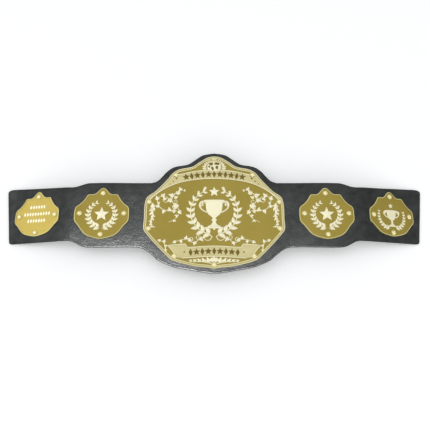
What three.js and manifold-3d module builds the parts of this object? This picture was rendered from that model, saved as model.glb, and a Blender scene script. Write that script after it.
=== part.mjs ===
// Championship title belt, lying open on its back with its face up.
// X runs along the belt, +Y points to the top of its face and +Z up out of the face. Millimetres.
import * as THREE from "three";
import { mergeVertices } from "three/addons/utils/BufferGeometryUtils.js";
import Module from "manifold-3d";

const wasm = await Module();
wasm.setup();

// Leather strap
const strapThickness = 3;
const bandAbove = 67.6; // edge above the centre line, beside the main plate
const bandBelow = 65.2;
const tailAbove = 58.7; // edge above the centre line, where the leather has become narrow
const tailBelow = 52;
const endAbove = 63; // the same at the very end, where it widens a little
const endBelow = 53;
const endLength = 23.3; // leather past the outer plates, along its upper edge
const endSlant = 14.5; // how much shorter its lower edge is cut
const upperCornerLength = 20; // the rounded corners of each end
const upperCornerDrop = 8;
const lowerCornerLength = 7;
const lowerCornerDrop = 6;
const taperOverInner = 0.5; // share of the inner plate's half width over which the leather narrows
const taperPastInner = 0.3; // share of the gap to the outer plate by which it has become narrow
const leatherMarginAbove = 8.7; // leather that shows past the crown and the foot of the main plate
const leatherMarginBelow = 9.3;
const droop = THREE.MathUtils.degToRad(13.5); // the ends slope down to what the belt lies on
const bendSteps = 4;
const levelMargin = 0.5; // from an outer plate to where the leather bends back
const levelRun = 5; // length over which it bends back, so that its end lies flat
const levelSteps = 2;

// Main plate
const mainHalfWidth = 137.5;
const mainCrown = 124; // height of the crown above the centre line
const mainFoot = 108.3; // depth of the foot below it
const mainRimWidth = 5.5;
const groundThickness = 1.9; // metal under the lowered ground of every plate
const rimHeight = 0.9; // rim, banner and ribbon above the ground
const scrollHeight = 0.6; // scrolls and leaves above the ground
const globeRadius = 14;
const globeHeight = 2.6;
const globeUp = 0.825; // middle of the globe, as a share of the crown
const globeSides = 12;

// Side plates
const mainToInnerGap = 29.6; // along the leather, between the plates' edges
const innerHalfWidth = 53.7;
const innerCrown = 55.4;
const innerFoot = 50;
const innerToOuterGap = 31.4;
const outerHalfWidth = 48.4;
const outerCrown = 52.2;
const outerFoot = 40.8;
const sideRimWidth = 2;

// Screws: a domed head, a shank through plate and leather, and a flat cap behind
const screwHeadRadius = 4.2;
const screwHeadHeight = 2;
const screwShankRadius = 1.7;
const screwCapRadius = 4;
const screwCapHeight = 1;
const screwSides = 8;
const seatMargin = 1; // flat metal round each screw's head

// Press studs on the back of the ends
const studInset = 10; // from the middle of the outer plate towards the middle of the belt
const studAbove = 22;
const studBelow = 12;
const studFlangeRadius = 7;
const studSocketRadius = 4.8;
const studSocketHeight = 3;
const studRecessRadius = 2.8;
const studRecessDepth = 2;
const studFlangeHeight = 0.8;
const studPostRadius = 2;
const studSides = 8;

const clearance = 0.3; // between any two pieces

const leather = new THREE.MeshStandardMaterial({ color: "#262829", roughness: 0.55, metalness: 0 });
const gold = new THREE.MeshStandardMaterial({ color: "#c3ab57", roughness: 0.32, metalness: 1 });
const brass = new THREE.MeshStandardMaterial({ color: "#e6d48a", roughness: 0.22, metalness: 1 });
const nickel = new THREE.MeshStandardMaterial({ color: "#b9bcc0", roughness: 0.3, metalness: 1 });

const plateGround = clearance + groundThickness;
const plateTop = plateGround + rimHeight;
const holeRadius = screwShankRadius + clearance;
const seatRadius = screwHeadRadius + seatMargin;

// Places along the leather, from the middle of the belt
const innerCentre = mainHalfWidth + mainToInnerGap + innerHalfWidth;
const outerCentre = innerCentre + innerHalfWidth + innerToOuterGap + outerHalfWidth;
const strapHalfLength = outerCentre + outerHalfWidth + endLength;

// Right half of the main plate's edge from crown to foot, in shares of its half width, crown and foot
const mainEdge = [
  { across: 0, up: 1 },
  { across: 0.09, up: 0.983 },
  { across: 0.164, up: 0.938 },
  { across: 0.234, up: 0.885 },
  { across: 0.302, up: 0.829 },
  { across: 0.377, up: 0.801 },
  { across: 0.463, up: 0.784 },
  { across: 0.54, up: 0.757 },
  { across: 0.614, up: 0.695 },
  { across: 0.668, up: 0.615 },
  { across: 0.729, up: 0.535 },
  { across: 0.789, up: 0.459 },
  { across: 0.865, up: 0.376 },
  { across: 0.967, up: 0.29 },
  { across: 0.997, up: 0.172 },
  { across: 1, up: -0.08 },
  { across: 1, up: -0.287 },
  { across: 0.955, up: -0.37 },
  { across: 0.81, up: -0.578 },
  { across: 0.67, up: -0.758 },
  { across: 0.596, up: -0.84 },
  { across: 0.417, up: -0.914 },
  { across: 0.246, up: -0.961 },
  { across: 0.082, up: -0.983 },
  { across: 0, up: -1 },
];

// Right half of a side plate's edge, in shares of its half width, crown and foot
const sideEdge = [
  { across: 0, up: 1 },
  { across: 0.085, up: 0.968 },
  { across: 0.16, up: 0.893 },
  { across: 0.25, up: 0.8 },
  { across: 0.34, up: 0.755 },
  { across: 0.45, up: 0.756 },
  { across: 0.552, up: 0.737 },
  { across: 0.62, up: 0.63 },
  { across: 0.72, up: 0.49 },
  { across: 0.83, up: 0.38 },
  { across: 0.94, up: 0.3 },
  { across: 0.985, up: 0.225 },
  { across: 1, up: 0.03 },
  { across: 0.992, up: -0.21 },
  { across: 0.955, up: -0.31 },
  { across: 0.845, up: -0.445 },
  { across: 0.715, up: -0.635 },
  { across: 0.59, up: -0.79 },
  { across: 0.44, up: -0.885 },
  { across: 0.25, up: -0.95 },
  { across: 0, up: -1 },
];

// Leather behind the main plate: how much of the full rise past the band's edge it has, from the middle
// outwards in shares of the main plate's half width
const leatherRiseAbove = [
  { across: 0, rise: 1 },
  { across: 0.087, rise: 0.978 },
  { across: 0.175, rise: 0.931 },
  { across: 0.24, rise: 0.84 },
  { across: 0.306, rise: 0.735 },
  { across: 0.371, rise: 0.64 },
  { across: 0.437, rise: 0.597 },
  { across: 0.538, rise: 0.565 },
  { across: 0.619, rise: 0.505 },
  { across: 0.698, rise: 0.373 },
  { across: 0.771, rise: 0.19 },
  { across: 0.829, rise: 0.068 },
  { across: 0.902, rise: 0.006 },
  { across: 0.961, rise: 0 },
];
const leatherRiseBelow = [
  { across: 0, rise: 1 },
  { across: 0.174, rise: 0.935 },
  { across: 0.348, rise: 0.856 },
  { across: 0.521, rise: 0.775 },
  { across: 0.654, rise: 0.655 },
  { across: 0.787, rise: 0.485 },
  { across: 0.869, rise: 0.3 },
  { across: 0.961, rise: 0.115 },
  { across: 1.023, rise: 0.035 },
  { across: 1.094, rise: 0 },
];

// Screw places in shares of the plate's half width, crown and foot
const mainScrews = [
  { across: -0.558, up: 0.67 },
  { across: 0.558, up: 0.67 },
  { across: -0.935, up: 0.21 },
  { across: 0.935, up: 0.21 },
  { across: -0.93, up: -0.266 },
  { across: 0.93, up: -0.266 },
  { across: -0.557, up: -0.775 },
  { across: 0.557, up: -0.775 },
  { across: 0, up: -0.928 },
];
const sideScrews = [
  { across: 0, up: 0.8 },
  { across: -0.81, up: 0.04 },
  { across: 0.81, up: 0.04 },
  { across: 0, up: -0.81 },
];

// Point of a table's row in millimetres, on a plate of the given size
function placed({ across, up }, size) {
  return new THREE.Vector2(across * size.halfWidth, up * (up > 0 ? size.crown : size.foot));
}

const mirrored = (points) => points.map(({ x, y }) => new THREE.Vector2(-x, y)).reverse();

// The whole outline of a plate from the table of its right half
function plateOutline(rows, size) {
  const right = rows.map((row) => placed(row, size)).reverse();
  return [...right, ...mirrored(right).slice(1, -1)];
}

// The outline moved inwards by a distance, each corner along its own bisector
function inset(outline, distance) {
  return outline.map((point, i) => {
    const before = outline[(i + outline.length - 1) % outline.length];
    const after = outline[(i + 1) % outline.length];
    const comingIn = point.clone().sub(before).normalize();
    const goingOut = after.clone().sub(point).normalize();
    const along = comingIn.clone().add(goingOut).normalize();
    const inwards = new THREE.Vector2(-along.y, along.x);
    return point.clone().addScaledVector(inwards, distance / Math.max(0.5, comingIn.dot(along)));
  });
}

// A flat slab with the given outline, from one height to another
function slab(outline, bottom, top) {
  const depth = top - bottom;
  const geometry = new THREE.ExtrudeGeometry(new THREE.Shape(outline), { depth, bevelEnabled: false });
  return geometry.translate(0, 0, bottom);
}

// A round outline
function disc(x, y, radius, sides) {
  return Array.from({ length: sides }, (_, i) => {
    const turn = ((i + 0.5) * 2 * Math.PI) / sides;
    return new THREE.Vector2(x + radius * Math.cos(turn), y + radius * Math.sin(turn));
  });
}

// A turned piece about Z from a profile of radius and height
function turned(profile, sides) {
  const points = profile.map(([radius, height]) => new THREE.Vector2(radius, height));
  return new THREE.LatheGeometry(points, sides).rotateX(Math.PI / 2);
}

// Geometry to a solid that can be joined and cut, and back
function solid(geometry) {
  const bare = geometry.clone();
  bare.deleteAttribute("normal");
  bare.deleteAttribute("uv");
  const merged = mergeVertices(bare, 1e-4);
  const index = merged.index.array;
  const triangles = [];
  for (let i = 0; i < index.length; i += 3) {
    const [a, b, c] = index.slice(i, i + 3);
    if (a !== b && b !== c && c !== a) triangles.push(a, b, c);
  }
  const mesh = { numProp: 3, vertProperties: merged.attributes.position.array };
  return new wasm.Manifold(new wasm.Mesh({ ...mesh, triVerts: new Uint32Array(triangles) }));
}

function geometryOf(made) {
  const { vertProperties, triVerts } = made.getMesh();
  const geometry = new THREE.BufferGeometry();
  geometry.setAttribute("position", new THREE.BufferAttribute(vertProperties, 3));
  geometry.setIndex(new THREE.BufferAttribute(triVerts, 1));
  return geometry;
}

// The leather lies flat behind each stiff plate. It bends down in equal steps between the two side plates
// and back again past the outer one, so that its end lies on the floor.
// A station is where its slope changes: slopes[k] comes before station k and slopes[k + 1] after it
const bendStart = innerCentre + innerHalfWidth;
const levelStart = outerCentre + outerHalfWidth + levelMargin;
const steps = (count) => Array.from({ length: count }, (_, k) => (k + 0.5) / count);
const slopes = [
  0,
  ...steps(bendSteps).map((share) => share * droop),
  droop,
  ...steps(levelSteps).map((share) => (1 - share) * droop),
  0,
  0,
];
const alongs = [
  bendStart,
  ...steps(bendSteps).map((share) => bendStart + (share + 0.5 / bendSteps) * innerToOuterGap),
  levelStart,
  ...steps(levelSteps).map((share) => levelStart + (share + 0.5 / levelSteps) * levelRun),
  strapHalfLength,
];

// Each station's point on the top of the leather, and the direction in which layers above it are stacked
let stationX = bendStart;
let stationZ = 0;
const stations = alongs.map((along, k) => {
  const run = k ? along - alongs[k - 1] : 0;
  stationX += run * Math.cos(slopes[k]);
  stationZ -= run * Math.sin(slopes[k]);
  const lean = (slopes[k] + slopes[k + 1]) / 2;
  const reach = 1 / Math.cos((slopes[k + 1] - slopes[k]) / 2);
  const stack = { leanX: Math.sin(lean) * reach, leanZ: Math.cos(lean) * reach };
  return { along, x: stationX, z: stationZ, ...stack };
});

function lastStation(along) {
  return Math.min(stations.findLastIndex((station) => station.along <= along), stations.length - 2);
}

// Where a point of the flat belt goes once the belt is bent
function bent(x, y, z) {
  const k = lastStation(Math.abs(x));
  if (k < 0) return new THREE.Vector3(x, y, z);
  const share = (Math.abs(x) - stations[k].along) / (stations[k + 1].along - stations[k].along);
  const mix = (key) => THREE.MathUtils.lerp(stations[k][key], stations[k + 1][key], share);
  return new THREE.Vector3(Math.sign(x) * (mix("x") + z * mix("leanX")), y, mix("z") + z * mix("leanZ"));
}

// A slab between two heights that follows the bend. Its outline crosses each station twice
function bentSlab(outline, bottom, top) {
  const marks = [-1, 1].flatMap((side) => stations.map(({ along }) => side * along));
  marks.sort((a, b) => a - b);
  const edge = outline.flatMap((point, i) => {
    const next = outline[(i + 1) % outline.length];
    const passed = marks.filter((x) => (x - point.x) * (x - next.x) < -1e-6);
    if (next.x < point.x) passed.reverse();
    return [point, ...passed.map((x) => point.clone().lerp(next, (x - point.x) / (next.x - point.x)))];
  });
  const count = edge.length;
  const faces = edge.flatMap((_, i) => {
    const next = (i + 1) % count;
    return [[i, next, count + next], [i, count + next, count + i]];
  });
  [-Infinity, ...marks].forEach((low, k) => {
    const high = marks[k] ?? Infinity;
    const within = edge.map((_, i) => i).filter((i) => edge[i].x > low - 1e-4 && edge[i].x < high + 1e-4);
    if (within.length < 3) return;
    for (const face of THREE.ShapeUtils.triangulateShape(within.map((i) => edge[i]), [])) {
      const [a, b, c] = face.map((i) => within[i]);
      faces.push([count + a, count + b, count + c], [c, b, a]);
    }
  });
  const layers = [bottom, top].flatMap((z) => edge.map(({ x, y }) => bent(x, y, z)));
  const geometry = new THREE.BufferGeometry().setFromPoints(layers);
  return solid(geometry.setIndex(faces.flat()));
}

// Puts a rigid piece on the bent belt, square to the leather
function stand(mesh, along, y) {
  mesh.position.copy(bent(along, y, 0));
  mesh.rotation.y = Math.sign(along) * slopes[lastStation(Math.abs(along)) + 1];
  mesh.updateMatrix();
  return mesh;
}

// A drill for a hole round the Z axis, through leather and plates
function drill(radius) {
  return new THREE.Mesh(slab(disc(0, 0, radius, screwSides), -2 * strapThickness, plateTop + globeHeight));
}

// The strap's edge from the middle to one end: the rise behind the main plate, the taper and the corner
function leatherEdge({ riseTable, margin, reach, band, tail, end, length, cornerLength, cornerDrop }) {
  const fullRise = reach + margin - band;
  const rise = riseTable.map((row) =>
    new THREE.Vector2(row.across * mainHalfWidth, band + row.rise * fullRise));
  const taperStart = bendStart - innerHalfWidth * taperOverInner;
  const taperEnd = bendStart + innerToOuterGap * taperPastInner;
  const taper = [0, 0.25, 0.5, 0.75, 1].map((share) => {
    const narrowing = THREE.MathUtils.smoothstep(share, 0, 1);
    return new THREE.Vector2(
      THREE.MathUtils.lerp(taperStart, taperEnd, share),
      THREE.MathUtils.lerp(band, tail, narrowing),
    );
  });
  const corner = new THREE.QuadraticBezierCurve(
    new THREE.Vector2(length - cornerLength, end),
    new THREE.Vector2(length, end),
    new THREE.Vector2(length, end - cornerDrop),
  );
  return [...rise, ...taper, ...corner.getPoints(4)];
}

function strapGeometry(holes) {
  const above = leatherEdge({
    riseTable: leatherRiseAbove,
    margin: leatherMarginAbove,
    reach: mainCrown,
    band: bandAbove,
    tail: tailAbove,
    end: endAbove,
    length: strapHalfLength,
    cornerLength: upperCornerLength,
    cornerDrop: upperCornerDrop,
  });
  const below = leatherEdge({
    riseTable: leatherRiseBelow,
    margin: leatherMarginBelow,
    reach: mainFoot,
    band: bandBelow,
    tail: tailBelow,
    end: endBelow,
    length: strapHalfLength - endSlant,
    cornerLength: lowerCornerLength,
    cornerDrop: lowerCornerDrop,
  }).map(({ x, y }) => new THREE.Vector2(x, -y));
  const right = [...below, ...above.reverse()];
  const outline = [...right, ...mirrored(right).slice(1, -1)];
  const hide = bentSlab(outline, -strapThickness, 0);
  const drills = holes.map(({ x, y, radius }) => {
    const bit = stand(drill(radius), x, y);
    return solid(bit.geometry.applyMatrix4(bit.matrix));
  });
  return geometryOf(drills.reduce((left, bit) => left.subtract(bit), hide));
}

// Height of the surface under the belt, on which the leather's ends lie
const floorHeight = bent(strapHalfLength, 0, -strapThickness).z;

const mainSize = { halfWidth: mainHalfWidth, crown: mainCrown, foot: mainFoot };
const innerSize = { halfWidth: innerHalfWidth, crown: innerCrown, foot: innerFoot };
const outerSize = { halfWidth: outerHalfWidth, crown: outerCrown, foot: outerFoot };

// Ornament of the main plate, right half, in shares of the plate's half width, crown and foot
const bannerUpperArc = [
  { across: 0, up: 0.76 },
  { across: 0.27, up: 0.737 },
  { across: 0.512, up: 0.676 },
  { across: 0.6, up: 0.66 },
];
const bannerLowerArc = [
  { across: 0, up: 0.609 },
  { across: 0.25, up: 0.594 },
  { across: 0.503, up: 0.54 },
  { across: 0.686, up: 0.454 },
  { across: 0.852, up: 0.325 },
  { across: 1, up: 0.14 },
];
const ribbonBand = [
  { across: 0.374, up: -0.617 },
  { across: 0, up: -0.591 },
  { across: 0.444, up: -0.812 },
  { across: 0, up: -0.779 },
];
const ribbonTail = [
  { across: 0.378, up: -0.58 },
  { across: 0.407, up: -0.554 },
  { across: 0.64, up: -0.586 },
  { across: 0.557, up: -0.72 },
  { across: 0.511, up: -0.791 },
  { across: 0.368, up: -0.791 },
];
const scrolls = [ // each point of a path is [across, up]
  { name: "stem", widths: [1.4, 1.6], path: [[0.479, 0.352], [0.551, 0.354], [0.58, 0.301], [0.599, 0.233],
    [0.566, 0.165], [0.501, 0.09], [0.492, 0.013], [0.544, -0.092], [0.638, -0.15]] },
  { name: "bowl", widths: [1.4, 2.4], path: [[0.797, 0.258], [0.787, 0.165], [0.733, 0.081], [0.663, 0.068],
    [0.619, 0.115]] },
  { name: "side column", widths: [1.2, 2.4], path: [[0.86, 0.12], [0.9, 0.04], [0.88, -0.04], [0.91, -0.13],
    [0.885, -0.2]] },
  { name: "low scroll", widths: [1.4, 1.4], path: [[0.18, -0.41], [0.235, -0.5], [0.3, -0.52], [0.35, -0.46],
    [0.44, -0.47], [0.53, -0.5]] },
  { name: "sprig", widths: [1.2, 2], path: [[0.757, -0.51], [0.7, -0.53], [0.67, -0.57],
    [0.655, -0.64]] },
  { name: "foot leaf", widths: [3, 1], path: [[0.02, -0.86], [0.1, -0.83], [0.17, -0.86],
    [0.26, -0.85]] },
];
const scrollLeaves = [
  { across: 0.575, up: 0.35, turn: 120, length: 11 },
  { across: 0.6, up: 0.24, turn: 60, length: 12 },
  { across: 0.6, up: 0.24, turn: 150, length: 10 },
  { across: 0.58, up: 0.2, turn: 20, length: 9 },
  { across: 0.53, up: 0.12, turn: 330, length: 13 },
  { across: 0.8, up: 0.25, turn: 40, length: 8 },
  { across: 0.8, up: 0.25, turn: 130, length: 8 },
  { across: 0.88, up: 0, turn: 60, length: 8 },
  { across: 0.9, up: -0.1, turn: 120, length: 8 },
];

// Emblem of a cup in a wreath, in shares of its height from its own middle
const cupHalf = [
  [0.14, -0.31], [0.14, -0.26], [0.07, -0.23], [0.03, -0.16], [0.03, -0.09], [0.09, -0.04], [0.14, 0.05],
  [0.16, 0.2], [0.185, 0.21], [0.185, 0.25],
];
const cupHandle = [[0.15, 0.17], [0.23, 0.19], [0.26, 0.12], [0.21, 0.03], [0.12, 0.0]];
const wreath = { radius: 0.43, firstTurn: -78, lastTurn: 58, stemWidth: 0.014 };
const emblemStar = { up: 0.37, radius: 0.085 };

const mainEmblemHeight = 108;
const mainEmblemUp = 6;
const mainLeafPairs = 6;
const mainLeafLength = 15;
const sideEmblemHeight = 62;
const sideLeafPairs = 4;
const sideLeafLength = 11;
const sideStarRadius = 12;
const starWaist = 0.42; // inner corners of a star, as a share of its radius
const lozengeRows = [
  { up: 20, count: 6 },
  { up: 5.5, count: 10 },
  { up: -8.5, count: 7 },
];
const lozengePitch = 5.9;
const lozengeHeight = 9.4;

// A line of tapering width along a smooth path
function stroke(points, [startWidth, endWidth]) {
  const curve = new THREE.SplineCurve(points);
  const count = points.length - 1;
  const edges = [-1, 1].map((side) => Array.from({ length: count + 1 }, (_, i) => {
    const along = curve.getTangent(i / count);
    const half = THREE.MathUtils.lerp(startWidth, endWidth, i / count) / 2;
    return curve.getPoint(i / count).addScaledVector(new THREE.Vector2(-along.y, along.x), side * half);
  }));
  return [...edges[0], ...edges[1].reverse()];
}

// A pointed leaf that starts at a place and points along a turn in degrees
function leaf(x, y, turn, length) {
  const direction = THREE.MathUtils.degToRad(turn);
  return [[-0.06, 0], [0.4, -0.2], [1, 0], [0.4, 0.2]].map(([along, out]) =>
    new THREE.Vector2(along * length, out * length).rotateAround(new THREE.Vector2(), direction)
      .add(new THREE.Vector2(x, y)));
}

// A five-pointed star
function star(x, y, radius) {
  return Array.from({ length: 10 }, (_, i) => {
    const reach = i % 2 ? radius * starWaist : radius;
    const turn = Math.PI / 2 + (i * Math.PI) / 5;
    return new THREE.Vector2(x + reach * Math.cos(turn), y + reach * Math.sin(turn));
  });
}

// Both branches of a wreath round a middle at the given height
function wreathPieces(up, height, leafPairs, leafLength) {
  const radius = wreath.radius * height;
  const turns = Array.from({ length: leafPairs }, (_, i) =>
    THREE.MathUtils.lerp(wreath.firstTurn, wreath.lastTurn, i / (leafPairs - 1)));
  const onRing = (turn) => {
    const angle = THREE.MathUtils.degToRad(turn);
    return new THREE.Vector2(radius * Math.cos(angle), up + radius * Math.sin(angle));
  };
  const stem = stroke(turns.map(onRing), [wreath.stemWidth * height, wreath.stemWidth * height]);
  const leaves = turns.flatMap((turn) => [55, 125].map((spread) => {
    const { x, y } = onRing(turn);
    return leaf(x, y, turn + spread, leafLength);
  }));
  const right = [stem, ...leaves];
  return [...right, ...right.map(mirrored)];
}

// A two-handled cup
function cupPieces(up, height) {
  const scaled = (points) => points.map(([x, y]) => new THREE.Vector2(x * height, up + y * height));
  const right = scaled(cupHalf);
  const handle = stroke(scaled(cupHandle), [0.02 * height, 0.02 * height]);
  return [[...right, ...mirrored(right)], handle, mirrored(handle)];
}

// Raised shapes on the ground of a plate
function raised(outlines, height) {
  const sunk = groundThickness / 2;
  return outlines.map((outline) => solid(slab(outline, plateGround - sunk, plateGround + height)));
}

// A plate with its rim, screw seats and holes, round its own middle. Its relief stays inside the rim
function plateGeometry({ rows, size, rim, screws, relief }) {
  const outline = plateOutline(rows, size);
  const inside = inset(outline, rim);
  const tallest = plateTop + globeHeight;
  const field = solid(slab(inside, clearance, tallest));
  const places = screws.map((row) => placed(row, size));
  const pieces = relief().map((piece) => piece.intersect(field));
  const seats = raised(places.map(({ x, y }) => disc(x, y, seatRadius, screwSides)), rimHeight);
  const pocket = solid(slab(inside, plateGround, tallest));
  const blank = solid(slab(outline, clearance, plateTop)).subtract(pocket);
  const cast = [...pieces, ...seats].reduce((made, piece) => made.add(piece), blank);
  const drills = places.map(({ x, y }) => solid(drill(holeRadius).geometry.translate(x, y, 0)));
  return geometryOf(drills.reduce((left, bit) => left.subtract(bit), cast));
}

function mainRelief() {
  const onPlate = (rows) => rows.map((row) => placed(row, mainSize));
  const onPath = (path) => path.map(([across, up]) => placed({ across, up }, mainSize));
  const whole = (rows) => new THREE.SplineCurve([...mirrored(onPlate(rows).slice(1)), ...onPlate(rows)]);
  const lower = whole(bannerLowerArc).getPoints(14);
  const upper = whole(bannerUpperArc).getPoints(10);
  const outside = onPath([[1.1, 0.14], [1.1, 0.8], [0.7, 0.8]]);
  const banner = [...lower, ...outside, ...upper.reverse(), ...mirrored(outside)];
  const [topEnd, topMiddle, lowEnd, lowMiddle] = onPlate(ribbonBand);
  const band = [
    ...new THREE.SplineCurve([new THREE.Vector2(-lowEnd.x, lowEnd.y), lowMiddle, lowEnd]).getPoints(6),
    ...new THREE.SplineCurve([topEnd, topMiddle, new THREE.Vector2(-topEnd.x, topEnd.y)]).getPoints(6),
  ];
  const tail = onPlate(ribbonTail).reverse();
  const lines = scrolls.map(({ path, widths }) => stroke(onPath(path), widths));
  const leaves = scrollLeaves.map((row) => {
    const { x, y } = placed(row, mainSize);
    return leaf(x, y, row.turn, row.length);
  });
  const fine = [...lines, ...leaves];
  const dome = [[0, -0.4], [1, -0.4], [1, 0], [0.85, 0.55], [0.5, 0.9], [0, 1]];
  const globe = turned(dome.map(([out, up]) => [out * globeRadius, up * globeHeight]), globeSides);
  globe.translate(0, mainCrown * globeUp, plateGround);
  const emblem = [
    ...wreathPieces(mainEmblemUp, mainEmblemHeight, mainLeafPairs, mainLeafLength),
    ...cupPieces(mainEmblemUp, mainEmblemHeight),
    star(0, mainEmblemUp + emblemStar.up * mainEmblemHeight, emblemStar.radius * mainEmblemHeight),
  ];
  return [
    ...raised([banner, band], rimHeight),
    ...raised([tail, mirrored(tail), ...fine, ...fine.map(mirrored), ...emblem], scrollHeight),
    solid(globe),
  ];
}

function starAndWreath() {
  const laurels = wreathPieces(0, sideEmblemHeight, sideLeafPairs, sideLeafLength);
  return raised([...laurels, star(0, 0, sideStarRadius)], scrollHeight);
}

function cupAndStar() {
  const above = star(0, emblemStar.up * sideEmblemHeight, emblemStar.radius * sideEmblemHeight);
  return raised([...cupPieces(0, sideEmblemHeight), above], scrollHeight);
}

function rowsOfLozenges() {
  const lozenge = [[-0.4, 0], [0, -0.5], [0.4, 0], [0, 0.5]];
  const outlines = lozengeRows.flatMap(({ up, count }) =>
    Array.from({ length: count }, (_, i) => {
      const x = (i - (count - 1) / 2) * lozengePitch;
      return lozenge.map(([across, rise]) =>
        new THREE.Vector2(x + across * lozengePitch, up + rise * lozengeHeight));
    }));
  return raised(outlines, scrollHeight);
}

// A screw from the cap behind the leather to the dome on the plate
function screwGeometry() {
  const seat = plateTop + clearance;
  const behind = -strapThickness - clearance;
  return turned([
    [0, behind - screwCapHeight], [screwCapRadius, behind - screwCapHeight], [screwCapRadius, behind],
    [screwShankRadius, behind], [screwShankRadius, seat], [screwHeadRadius, seat],
    [screwHeadRadius * 0.78, seat + screwHeadHeight * 0.75], [0, seat + screwHeadHeight],
  ], screwSides);
}

// A press stud's socket behind the leather, its mouth facing back, on a post through the leather
function studGeometry() {
  const flange = -strapThickness - clearance;
  const mouth = flange - studSocketHeight;
  return turned([
    [0, mouth + studRecessDepth], [studRecessRadius, mouth + studRecessDepth], [studRecessRadius, mouth],
    [studSocketRadius, mouth], [studSocketRadius, flange - studFlangeHeight],
    [studFlangeRadius, flange - studFlangeHeight], [studFlangeRadius, flange], [studPostRadius, flange],
    [studPostRadius, 0], [0, 0],
  ], studSides);
}

const belt = new THREE.Group();
const holes = [];

function addPiece(name, geometry, material) {
  const mesh = new THREE.Mesh(geometry, material);
  mesh.name = name;
  belt.add(mesh);
  return mesh;
}

const main = { rows: mainEdge, rim: mainRimWidth, screws: mainScrews };
const side = { rows: sideEdge, rim: sideRimWidth, screws: sideScrews };
const plates = [
  { name: "main", ...main, size: mainSize, along: 0, relief: mainRelief },
  { name: "inner_left", ...side, size: innerSize, along: -innerCentre, relief: starAndWreath },
  { name: "inner_right", ...side, size: innerSize, along: innerCentre, relief: starAndWreath },
  { name: "outer_left", ...side, size: outerSize, along: -outerCentre, relief: rowsOfLozenges },
  { name: "outer_right", ...side, size: outerSize, along: outerCentre, relief: cupAndStar },
];

for (const plate of plates) {
  stand(addPiece(`${plate.name}_plate`, plateGeometry(plate), gold), plate.along, 0);
  plate.screws.forEach((row, i) => {
    const { x, y } = placed(row, plate.size);
    stand(addPiece(`${plate.name}_screw_${i + 1}`, screwGeometry(), brass), plate.along + x, y);
    holes.push({ x: plate.along + x, y, radius: holeRadius });
  });
}

const studAlong = outerCentre - studInset;
const studs = [
  { name: "stud_left_upper", along: -studAlong, y: studAbove },
  { name: "stud_left_lower", along: -studAlong, y: -studBelow },
  { name: "stud_right_upper", along: studAlong, y: studAbove },
  { name: "stud_right_lower", along: studAlong, y: -studBelow },
];
for (const { name, along, y } of studs) {
  stand(addPiece(name, studGeometry(), nickel), along, y);
  holes.push({ x: along, y, radius: studPostRadius + clearance });
}

addPiece("strap", strapGeometry(holes), leather);

// The floor under the belt's middle is the origin
const beltAbove = mainCrown + leatherMarginAbove;
const beltBelow = mainFoot + leatherMarginBelow;
belt.position.set(0, (beltBelow - beltAbove) / 2, -floorHeight);

export default belt;
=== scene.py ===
# %% [markdown]
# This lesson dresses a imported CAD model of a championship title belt: black leather, five gold plates,
# 25 domed screws and four press studs. Every piece is placed in the same frame as the CAD solids.

# %% Load the frame
import math

import bmesh
import bpy
from mathutils import Matrix, Vector, noise


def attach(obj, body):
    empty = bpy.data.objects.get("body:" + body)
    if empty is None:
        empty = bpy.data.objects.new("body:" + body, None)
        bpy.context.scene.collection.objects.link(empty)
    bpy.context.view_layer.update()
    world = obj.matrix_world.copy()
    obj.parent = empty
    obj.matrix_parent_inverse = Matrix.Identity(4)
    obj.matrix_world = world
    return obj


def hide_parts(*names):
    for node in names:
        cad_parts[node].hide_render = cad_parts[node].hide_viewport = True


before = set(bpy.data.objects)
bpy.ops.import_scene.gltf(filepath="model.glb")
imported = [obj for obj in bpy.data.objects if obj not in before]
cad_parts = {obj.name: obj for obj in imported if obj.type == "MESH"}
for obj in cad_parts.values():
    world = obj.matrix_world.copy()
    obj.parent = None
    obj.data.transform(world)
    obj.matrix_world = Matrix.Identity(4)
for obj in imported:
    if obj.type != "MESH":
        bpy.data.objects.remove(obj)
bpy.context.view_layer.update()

# %% [markdown]
# The belt is drawn flat, in millimetres from the middle of its main plate, and then laid on the bend that
# the leather takes: flat under the stiff plates, a soft bend between the two side plates, straight down
# under the outer plate, and back again so that its end lies on the floor. These are the part's own sizes.

# %% Sizes of the belt
MM = 0.001
STRAP_THICKNESS = 3
CLEARANCE = 0.3  # between any two pieces
GROUND = 2.2  # the lowered ground of every plate, above the leather
PLATE_TOP = 3.1
MAIN = {"half": 137.5, "crown": 124, "foot": 108.3}
INNER = {"half": 53.7, "crown": 55.4, "foot": 50}
OUTER = {"half": 48.4, "crown": 52.2, "foot": 40.8}
MAIN_TO_INNER_GAP = 29.6
BEND_LENGTH = 31.4  # between the two side plates
LEVEL_MARGIN = 0.5  # from the outer plate to where the leather bends back
LEVEL_LENGTH = 5
END_LENGTH = 23.3  # leather past the outer plate, along its upper edge
END_SLANT = 14.5  # how much shorter its lower edge is cut
DROOP = math.radians(13.5)
BELT_SHIFT = -7.55  # brings the middle of the whole belt to the origin
LEATHER_TOP = 29.984  # height of the face under the main plate
INNER_CENTRE = MAIN["half"] + MAIN_TO_INNER_GAP + INNER["half"]
BEND_START = INNER_CENTRE + INNER["half"]
OUTER_CENTRE = BEND_START + BEND_LENGTH + OUTER["half"]
LEVEL_START = OUTER_CENTRE + OUTER["half"] + LEVEL_MARGIN
STRAP_END = OUTER_CENTRE + OUTER["half"] + END_LENGTH
SLOPE_LENGTH = LEVEL_START - BEND_START - BEND_LENGTH
BEND_RADIUS = BEND_LENGTH / DROOP
LEVEL_RADIUS = LEVEL_LENGTH / DROOP


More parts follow.
